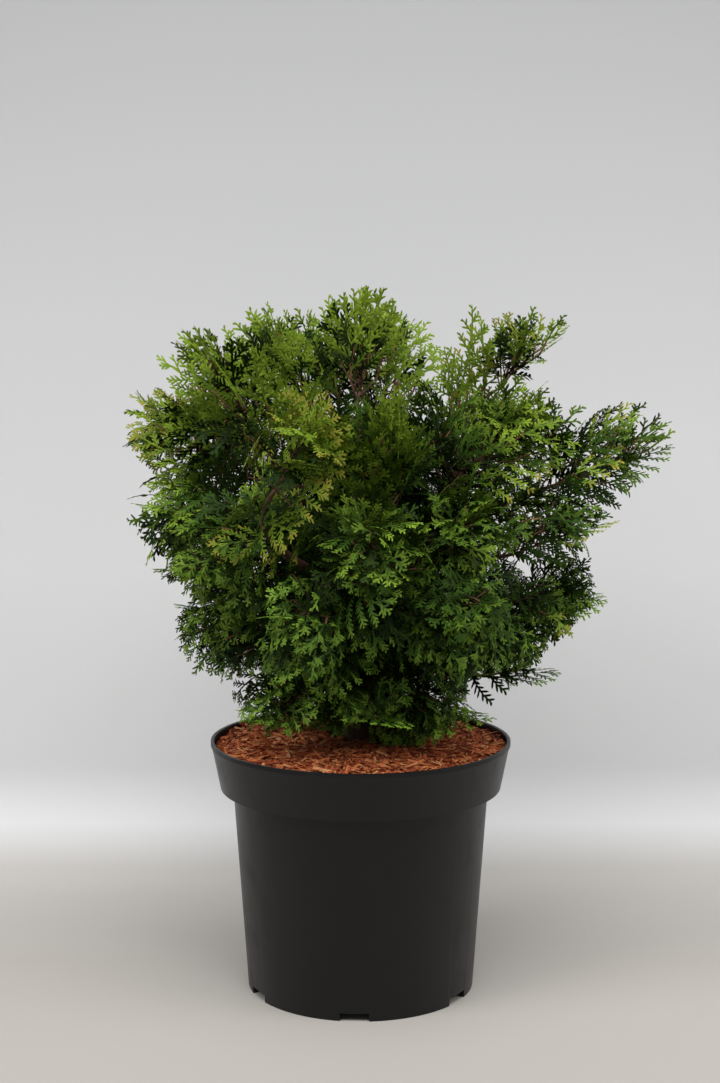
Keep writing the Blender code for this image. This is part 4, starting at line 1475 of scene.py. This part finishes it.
# Operators
class HINOKI_OT_leaves(bpy.types.Operator):
    """Grow the stems, twigs and scale leaves of every mass"""

    bl_idname = "hinoki.leaves"
    bl_label = "Grow twigs and leaves"

    def execute(self, context):
        settings = context.scene.hinoki_leaves
        bark = context.scene.hinoki_bark
        dresser = Dresser(settings)
        heights = bough_heights()
        for section, masses in SECTIONS.items():
            for mass in masses:
                dresser.dress(mass, section)
                if mass in heights:
                    dresser.dress_bough(mass, section, bough_route(mass, heights[mass]))
        dresser.dress_trunk("skirt")
        for (section, tone), pile in sorted(dresser.leaves.items()):
            material = leaf_material(f"{section}_{tone}", *self.colours(settings, section)[tone])
            nodes = ["foliage_" + mass.name for mass in SECTIONS[section]]
            name = f"leaves_{section}_{tone}"
            self.keep_above_mulch(pile)
            add_piece(name, pile.to_mesh(name), material, nodes)
        # Twigs take the darker bark colours: the older bark's own, and painted shade of the crown's
        # inside.
        wood = fibre_material(
            "twig_bark", bark.dark, bark.light, scale=260, roughness=0.8, depth=0.0002
        )
        add_piece("twigs", dresser.twigs.to_mesh("twigs"), wood)
        stalk = fibre_material(
            "stalk_bark", bark.light, bark.young, scale=260, roughness=0.7, depth=0.0002
        )
        add_piece("fan_stalks", dresser.stalks.to_mesh("fan_stalks"), stalk)
        return {"FINISHED"}

    @staticmethod
    def keep_above_mulch(pile):
        """Leaves that would dip into the mulch lie almost flat on it."""
        floor = MULCH_TOP + LEAVES_OVER_MULCH
        for places in pile.places:
            height = places[..., 2]
            over_pot = np.hypot(places[..., 0], places[..., 1]) < RIM_RADIUS + OVER_POT_WITHIN
            low = over_pot & (height < floor)
            height[low] = floor + (height[low] - floor) * PRESSED_FLAT

    @staticmethod
    def colours(settings, section):
        """The colour of each tone at a joint's foot, darker there as painted shade, and at its tip,
        from old and shaded leaf to gold. Low down the young leaf is a deeper green."""
        names = ("shade", "leaf", "young", "low", "gold")
        shade, leaf, young, low, gold = (Vector(getattr(settings, name)) for name in names)
        young = young.lerp(low, DEEPER_GREEN[section])
        fresh = leaf.lerp(young, FRESH_LEAF)
        return {
            "deep": (shade * 0.35, shade * 0.85),
            "shade": (shade * 0.6, shade.lerp(leaf, 0.42)),
            "leaf": (shade.lerp(leaf, 0.15), leaf * 0.9),
            "bright": (shade.lerp(leaf, 0.55), fresh),
            "lime": (leaf, young * 1.15),
            "gold": (fresh, gold),
        }


class HINOKI_OT_bark(bpy.types.Operator):
    """Model the trunk and the boughs with the relief of their bark"""

    bl_idname = "hinoki.bark"
    bl_label = "Model trunk and boughs"

    def execute(self, context):
        settings = context.scene.hinoki_bark
        material = fibre_material(
            "bark",
            settings.dark,
            settings.light,
            scale=420,
            roughness=0.82,
            depth=0.0004,
            coordinates="bark_place",
        )
        trunk = bmesh.new()
        heights = self.trunk_heights()
        points = [trunk_axis(height) for height in heights]
        radii = [trunk_radius(height) for height in heights]
        self.add_limb(trunk, points, radii, TRUNK_SIDES, settings.relief * TRUNK_RELIEF)
        add_piece("trunk_bark", mesh_of(trunk, "trunk_bark"), material, ["trunk"])
        boughs = bmesh.new()
        names = []
        for mass, height in bough_heights().items():
            points = bough_route(mass, height)
            first = min(BOUGH_RADIUS, BOUGH_SHARE_OF_TRUNK * trunk_radius(points[0].z))
            step = (first - BOUGH_TIP_RADIUS) / (len(points) - 1)
            radii = [first - step * i for i in range(len(points))]
            self.add_limb(boughs, points, radii, BOUGH_SIDES, settings.relief * BOUGH_RELIEF)
            names.append("bough_" + mass.name)
        add_piece("bough_bark", mesh_of(boughs, "bough_bark"), material, names)
        return {"FINISHED"}

    @staticmethod
    def trunk_heights():
        """Where the trunk's rings lie, closest together at its flared foot."""
        foot = MULCH_TOP - TRUNK_SUNK
        rise = trunk_top() - foot
        last = TRUNK_RINGS - 1
        return [foot + rise * (i / last) ** TRUNK_RINGS_CROWD for i in range(TRUNK_RINGS)]

    @staticmethod
    def add_limb(shape, points, radii, sides, relief):
        """Extrudes a ring along the points and lifts strips of bark out of it."""
        place_layer = shape.verts.layers.float_vector.get("bark_place")
        if place_layer is None:
            place_layer = shape.verts.layers.float_vector.new("bark_place")
        way = (points[1] - points[0]).normalized()
        side = way.orthogonal().normalized()
        ring = bmesh.ops.create_circle(shape, cap_ends=True, segments=sides, radius=1)["verts"]
        along = 0
        for i, (point, radius) in enumerate(zip(points, radii)):
            if i:
                edges = {
                    edge
                    for vert in ring
                    for edge in vert.link_edges
                    if edge.other_vert(vert) in ring
                }
                made = bmesh.ops.extrude_edge_only(shape, edges=list(edges))["geom"]
                new = [item for item in made if isinstance(item, bmesh.types.BMVert)]
                ring = HINOKI_OT_bark.in_order(ring, new)
                along += (point - points[i - 1]).length
                way = (point - points[i - 1]).normalized()
                side = (side - way * side.dot(way)).normalized()
            other = way.cross(side)
            for k, vert in enumerate(ring):
                angle = 2 * math.pi * k / sides
                c, s = math.cos(angle), math.sin(angle)
                strips = (c * STRIPS_ROUND, s * STRIPS_ROUND, along * STRIPS_PER_METRE)
                cracks = (c * CRACKS_ROUND, s * CRACKS_ROUND, along * CRACKS_PER_METRE)
                lift = noise.noise(Vector(strips)) + CRACK_DEPTH * noise.noise(Vector(cracks))
                vert.co = point + (side * c + other * s) * (radius + relief * lift)
                vert[place_layer] = Vector((c * radius, s * radius, along))
        bmesh.ops.holes_fill(shape, edges=[e for e in shape.edges if e.is_boundary], sides=0)
        bmesh.ops.recalc_face_normals(shape, faces=shape.faces)
        for face in shape.faces:
            face.smooth = True

    @staticmethod
    def in_order(ring, new):
        """The new ring's corners, each after the old corner that it was drawn out from."""
        found = set(new)
        return [
            next(e.other_vert(vert) for e in vert.link_edges if e.other_vert(vert) in found)
            for vert in ring
        ]


def mulch_height(radius):
    """The height of the mulch at this distance from the trunk."""
    knots = (
        (0, MULCH_TOP),
        (MULCH_FLAT_RADIUS, MULCH_TOP),
        (MULCH_SHOULDER_RADIUS, MULCH_SHOULDER),
        (MULCH_RADIUS, MULCH_EDGE),
    )
    return float(np.interp(radius, [knot[0] for knot in knots], [knot[1] for knot in knots]))


class HINOKI_OT_mulch(bpy.types.Operator):
    """Lay the mulch: a rough bed with shreds of bark on it"""

    bl_idname = "hinoki.mulch"
    bl_label = "Lay mulch"

    def execute(self, context):
        settings = context.scene.hinoki_mulch
        bed = fibre_material(
            "mulch_bed", settings.dark, settings.red, scale=300, roughness=0.9, depth=0.001
        )
        add_piece("mulch_bed", self.bed_mesh(), bed, ["bark_mulch"])
        rng = random.Random("mulch")
        unit = rod_shape(CHIP_SIDES, CHIP_END_WIDTH)
        piles = {name: Pile(unit) for name in CHIP_SHARES}
        for name, share in CHIP_SHARES.items():
            piles[name].add(self.chips(round(settings.chips * share), rng, unit[0], settings))
        stick = np.array(LEANING_STICK)
        piles["red"].add(rods_between(unit[0], stick[:1], stick[1:], np.array(STICK_RADII)))
        colours = {
            "dark": (settings.dark, settings.red),
            "red": (settings.red, settings.pale),
            "pale": (settings.pale, PALEST_CHIP),
        }
        for name, pile in piles.items():
            dark, light = colours[name]
            dark = Vector(dark) * DARKER_CHIP
            wood = fibre_material(
                "chips_" + name, dark, light, scale=420, roughness=0.85, depth=0.0004
            )
            mesh = pile.to_mesh("chips_" + name)
            mesh.polygons.foreach_set("use_smooth", np.zeros(len(mesh.polygons), dtype=bool))
            add_piece("chips_" + name, mesh, wood)
        return {"FINISHED"}

    @staticmethod
    def bed_mesh():
        radii = [MULCH_RADIUS * i / MULCH_RINGS for i in range(MULCH_RINGS + 1)]
        profile = [(radius, mulch_height(radius)) for radius in radii]
        underside = MULCH_EDGE - MULCH_DEPTH
        shape = turned_shape(profile + [(MULCH_RADIUS, underside), (0, underside)], MULCH_SEGMENTS)
        for vert in shape.verts:
            on_top = vert.co.z > MULCH_EDGE - MULCH_DEPTH / 2
            if on_top and vert.co.xy.length < MULCH_RADIUS * BED_ROUGH_WITHIN:
                grain = noise.noise(vert.co * BED_GRAIN_PER_METRE)
                rough = noise.noise(vert.co * BED_LUMPS_PER_METRE) + BED_GRAIN * grain
                vert.co.z += BED_LUMPS * rough - BED_SUNK
        return mesh_of(shape, "mulch_bed")

    @staticmethod
    def chips(count, rng, unit, settings):
        """Shreds strewn over the mulch, few of them long, that lie level and within the pot."""
        starts, ends, radii, flat, facings = [], [], [], [], []
        for _ in range(count):
            longer = (settings.longest - SHORTEST_CHIP) * rng.random() ** FEW_LONG_CHIPS
            length = SHORTEST_CHIP + longer
            radius = (MULCH_RADIUS - CHIPS_WITHIN_EDGE) * math.sqrt(rng.random())
            bearing = rng.uniform(0, 2 * math.pi)
            around = rng.uniform(0, 2 * math.pi)
            tilt = rng.gauss(0, CHIP_TILT)
            level = math.cos(tilt)
            way = Vector((math.cos(around) * level, math.sin(around) * level, math.sin(tilt)))
            middle = Vector((radius * math.cos(bearing), radius * math.sin(bearing), 0))
            reach = max((middle + way * length / 2 * side).xy.length for side in (-1, 1))
            if reach > MULCH_RADIUS:
                middle *= (MULCH_RADIUS - (reach - radius)) / radius
            middle.z = mulch_height(middle.xy.length) + rng.uniform(*CHIP_LIES)
            starts.append(middle - way * length / 2)
            ends.append(middle + way * length / 2)
            least, most = CHIP_HALF_WIDTHS
            wide = min(most, least + length * rng.uniform(*CHIP_WIDTH_SHARES))
            radii.append((wide, wide))
            flat.append(rng.uniform(*CHIP_THICKNESS_SHARES))
            facing = Vector((rng.gauss(0, CHIP_FACING_STRAY), rng.gauss(0, CHIP_FACING_STRAY), 1))
            facings.append((facing - way * facing.dot(way)).normalized())
        return rods_between(unit, *map(np.array, (starts, ends, radii, flat, facings)))


class HINOKI_OT_pot(bpy.types.Operator):
    """Turn the nursery pot with its rolled rim, collar band and notched foot"""

    bl_idname = "hinoki.pot"
    bl_label = "Turn the pot"

    def execute(self, context):
        settings = context.scene.hinoki_pot
        shape = turned_shape(self.profile(), POT_SEGMENTS)
        turned = self.temporary("pot_turned", mesh_of(shape, "pot_turned"))
        cutter = self.temporary("pot_cutters", self.cutter_mesh())
        cut = turned.modifiers.new("openings", "BOOLEAN")
        cut.operation = "DIFFERENCE"
        cut.object = cutter
        rounding = turned.modifiers.new("rounding", "BEVEL")
        rounding.width = settings.rounding
        rounding.segments = ROUNDING_STEPS
        rounding.limit_method = "ANGLE"
        rounding.angle_limit = SHARP_ANGLE
        mesh = self.finished(turned)
        bpy.data.objects.remove(cutter)
        bpy.data.objects.remove(turned)
        add_piece("pot_shell", mesh, plastic_material(settings), ["pot"])
        mix = fibre_material(
            "potting_mix", MIX_DARK, MIX_LIGHT, scale=500, roughness=0.95, depth=0.001
        )
        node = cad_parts["potting_mix"]
        for material_slot in node.material_slots:
            material_slot.material = mix
        return {"FINISHED"}

    @staticmethod
    def profile():
        band_foot = POT_HEIGHT - BAND_DEPTH
        inner_floor = FOOT_RING_HEIGHT + FLOOR_THICKNESS
        ring_inner = BASE_RADIUS - FOOT_RING_WIDTH
        lean = (WALL_TOP_RADIUS - BASE_RADIUS) / (band_foot - FOOT_RING_HEIGHT)
        floor_radius = BASE_RADIUS + lean * FLOOR_THICKNESS - WALL
        return [
            (0, inner_floor),
            (floor_radius, inner_floor),
            (WALL_TOP_RADIUS - WALL, band_foot + WALL),
            (BAND_FOOT_RADIUS - WALL, band_foot + WALL),
            (RIM_RADIUS - LIP_STEP - WALL, POT_HEIGHT - LIP_DEPTH),
            (RIM_RADIUS - LIP_STEP - WALL, POT_HEIGHT),
            (RIM_RADIUS, POT_HEIGHT),
            (RIM_RADIUS, POT_HEIGHT - LIP_DEPTH),
            (RIM_RADIUS - LIP_STEP, POT_HEIGHT - LIP_DEPTH - LIP_STEP),
            (BAND_FOOT_RADIUS, band_foot),
            (WALL_TOP_RADIUS, band_foot),
            (BASE_RADIUS, 0),
            (ring_inner, 0),
            (ring_inner, FOOT_RING_HEIGHT),
            (PAD_RADIUS, FOOT_RING_HEIGHT),
            (PAD_RADIUS, 0),
            (0, 0),
        ]

    @staticmethod
    def cutter_mesh():
        shape = bmesh.new()
        ring_middle = BASE_RADIUS - FOOT_RING_WIDTH / 2
        for i in range(NOTCH_COUNT):
            bearing = math.radians(NOTCH_BEARING + 360 / NOTCH_COUNT * i)
            turn = Matrix.Rotation(bearing, 4, "Z")
            size = Matrix.Diagonal((4 * FOOT_RING_WIDTH, NOTCH_WIDTH, 2 * NOTCH_HEIGHT, 1))
            place = turn @ Matrix.Translation((ring_middle, 0, 0)) @ size
            bmesh.ops.create_cube(shape, size=1, matrix=place)
            bmesh.ops.create_cone(
                shape,
                cap_ends=True,
                segments=DRAIN_SIDES,
                radius1=DRAIN_HOLE_RADIUS,
                radius2=DRAIN_HOLE_RADIUS,
                depth=4 * FLOOR_THICKNESS,
                matrix=turn @ Matrix.Translation((DRAIN_RING_RADIUS, 0, FOOT_RING_HEIGHT)),
            )
        return mesh_of(shape, "pot_cutters")

    @staticmethod
    def temporary(name, mesh):
        obj = bpy.data.objects.new(name, mesh)
        bpy.context.scene.collection.objects.link(obj)
        return obj

    @staticmethod
    def finished(obj):
        """The object's mesh with its modifiers applied, smooth but for its sharp edges."""
        bpy.context.view_layer.update()
        graph = bpy.context.evaluated_depsgraph_get()
        mesh = bpy.data.meshes.new_from_object(obj.evaluated_get(graph))
        shape = bmesh.new()
        shape.from_mesh(mesh)
        for face in shape.faces:
            face.smooth = True
        for edge in shape.edges:
            edge.smooth = edge.calc_face_angle(0) < SHARP_ANGLE
        shape.to_mesh(mesh)
        shape.free()
        return mesh


class HINOKI_OT_stage(bpy.types.Operator):
    """Set up the floor, the backdrop, the soft lights and the camera"""

    bl_idname = "hinoki.stage"
    bl_label = "Set the stage"

    FLOOR_FRONT = -2.4
    WALL_AT = 0.34
    WALL_HEIGHT = 2.4
    COVE = 0.10
    COVE_STEPS = 12
    FACES_BACK = 0.01
    HALF_WIDTH = 2.6
    WALL_TOP_SHADE = 0.53
    LIGHT_SPREAD = math.radians(110)
    # Each light's name, place, target, size and power
    LIGHTS = (
        ("key", (-1.7, -1.1, 1.8), (0, 0, 0.3), 1.2, 11),
        ("overhead", (0.1, -0.9, 2.0), (0, -0.1, 0.2), 1.4, 16),
        ("side", (1.8, -0.6, 1.3), (0, 0, 0.3), 1.2, 7),
    )
    WORLD_COLOUR = (0.92, 0.95, 1.0, 1)
    WORLD_STRENGTH = 0.25
    CAMERA_PLACE = (-0.0005, -1.460, 0.542)
    CAMERA_TILT = math.radians(83.31)
    SENSOR_WIDTH = 36

    def execute(self, context):
        scene = context.scene
        settings = scene.hinoki_stage
        self.add_backdrop(settings)
        for light in self.LIGHTS:
            self.add_light(*light)
        world = bpy.data.worlds.new("studio")
        world.use_nodes = True
        background = world.node_tree.nodes["Background"]
        background.inputs["Color"].default_value = self.WORLD_COLOUR
        background.inputs["Strength"].default_value = self.WORLD_STRENGTH
        scene.world = world
        scene.view_settings.view_transform = "Standard"
        data = bpy.data.cameras.new("camera")
        data.lens = settings.lens
        data.sensor_width = self.SENSOR_WIDTH
        camera = bpy.data.objects.new("camera", data)
        camera.location = self.CAMERA_PLACE
        camera.rotation_euler = (self.CAMERA_TILT, 0, 0)
        scene.collection.objects.link(camera)
        scene.camera = camera
        return {"FINISHED"}

    def add_backdrop(self, settings):
        """A floor that curves up into a wall. The wall is clear when seen from behind."""
        turn = [math.pi / 2 * i / self.COVE_STEPS for i in range(self.COVE_STEPS + 1)]
        points = [(self.FLOOR_FRONT, 0)]
        points += [
            (self.WALL_AT - self.COVE * (1 - math.sin(a)), self.COVE * (1 - math.cos(a)))
            for a in turn
        ]
        points.append((self.WALL_AT, self.WALL_HEIGHT))
        shape = bmesh.new()
        verts = [shape.verts.new((-self.HALF_WIDTH, y, z)) for y, z in points]
        edges = [shape.edges.new(pair) for pair in zip(verts, verts[1:])]
        made = bmesh.ops.extrude_edge_only(shape, edges=edges)["geom"]
        new = [item for item in made if isinstance(item, bmesh.types.BMVert)]
        bmesh.ops.translate(shape, verts=new, vec=(2 * self.HALF_WIDTH, 0, 0))
        for face in shape.faces:
            face.smooth = True
            if face.normal.z < 0 or face.normal.y > self.FACES_BACK:
                face.normal_flip()
        obj = bpy.data.objects.new("backdrop", mesh_of(shape, "backdrop"))
        obj.data.materials.append(self.backdrop_material(settings))
        bpy.context.scene.collection.objects.link(obj)

    def backdrop_material(self, settings):
        material = bpy.data.materials.new("backdrop")
        material.use_nodes = True
        nodes, links = material.node_tree.nodes, material.node_tree.links
        shader = nodes["Principled BSDF"]
        shader.inputs["Roughness"].default_value = 0.7
        place = nodes.new("ShaderNodeTexCoord")
        split = nodes.new("ShaderNodeSeparateXYZ")
        links.new(place.outputs["Object"], split.inputs["Vector"])
        # The wall is painted darker towards its top: painted shade where the lamps' light falls
        # off.
        wall_top_painted_shade = tuple(part * self.WALL_TOP_SHADE for part in settings.wall)
        rise = add_range(nodes, links, split.outputs["Z"], low=0.0, high=0.045)
        # The floor is painted lighter as it nears the wall: painted light in the cove's shade.
        far = add_range(nodes, links, split.outputs["Y"], low=0.05, high=0.30, to_high=0.25)
        rise = add_math(nodes, links, "MAXIMUM", rise, far)
        high = add_range(nodes, links, split.outputs["Z"], low=0.30, high=0.95)
        upper = add_mix(nodes, links, high, (*settings.wall, 1), (*wall_top_painted_shade, 1))
        colour = add_mix(nodes, links, rise, (*settings.floor, 1), upper)
        links.new(colour, shader.inputs["Base Color"])
        clear = nodes.new("ShaderNodeBsdfTransparent")
        behind = nodes.new("ShaderNodeNewGeometry")
        blend = nodes.new("ShaderNodeMixShader")
        links.new(behind.outputs["Backfacing"], blend.inputs["Fac"])
        links.new(shader.outputs["BSDF"], blend.inputs[1])
        links.new(clear.outputs["BSDF"], blend.inputs[2])
        links.new(blend.outputs["Shader"], nodes["Material Output"].inputs["Surface"])
        return material

    def add_light(self, name, place, target, size, energy):
        data = bpy.data.lights.new(name, "AREA")
        data.size = size
        data.spread = self.LIGHT_SPREAD
        data.energy = energy
        light = bpy.data.objects.new(name, data)
        light.location = place
        way = Vector(target) - Vector(place)
        light.rotation_euler = way.to_track_quat("-Z", "Y").to_euler()
        bpy.context.scene.collection.objects.link(light)


class HINOKI_PT_panel(bpy.types.Panel):
    """The plant's pieces and their settings"""

    bl_label = "Dwarf hinoki cypress"
    bl_idname = "HINOKI_PT_panel"
    bl_space_type = "VIEW_3D"
    bl_region_type = "UI"
    bl_category = "Hinoki"

    def draw(self, context):
        for operator, settings in STEPS:
            box = self.layout.box()
            box.operator(operator)
            group = getattr(context.scene, settings)
            for name in group.__annotations__:
                box.prop(group, name)


STEPS = (
    ("hinoki.pot", "hinoki_pot"),
    ("hinoki.mulch", "hinoki_mulch"),
    ("hinoki.bark", "hinoki_bark"),
    ("hinoki.leaves", "hinoki_leaves"),
    ("hinoki.stage", "hinoki_stage"),
)
SETTINGS = {
    "hinoki_pot": HinokiPotSettings,
    "hinoki_mulch": HinokiMulchSettings,
    "hinoki_bark": HinokiBarkSettings,
    "hinoki_leaves": HinokiLeafSettings,
    "hinoki_stage": HinokiStageSettings,
}
CLASSES = (
    *SETTINGS.values(),
    HINOKI_OT_pot,
    HINOKI_OT_mulch,
    HINOKI_OT_bark,
    HINOKI_OT_leaves,
    HINOKI_OT_stage,
    HINOKI_PT_panel,
)


def register():
    for cls in CLASSES:
        bpy.utils.register_class(cls)
    for name, group in SETTINGS.items():
        setattr(bpy.types.Scene, name, PointerProperty(type=group))


def unregister():
    for name in SETTINGS:
        delattr(bpy.types.Scene, name)
    for cls in reversed(CLASSES):
        bpy.utils.unregister_class(cls)


def main():
    register()
    bpy.ops.hinoki.pot()
    bpy.ops.hinoki.mulch()
    bpy.ops.hinoki.bark()
    bpy.ops.hinoki.leaves()
    bpy.ops.hinoki.stage()


if __name__ == "__main__":
    main()
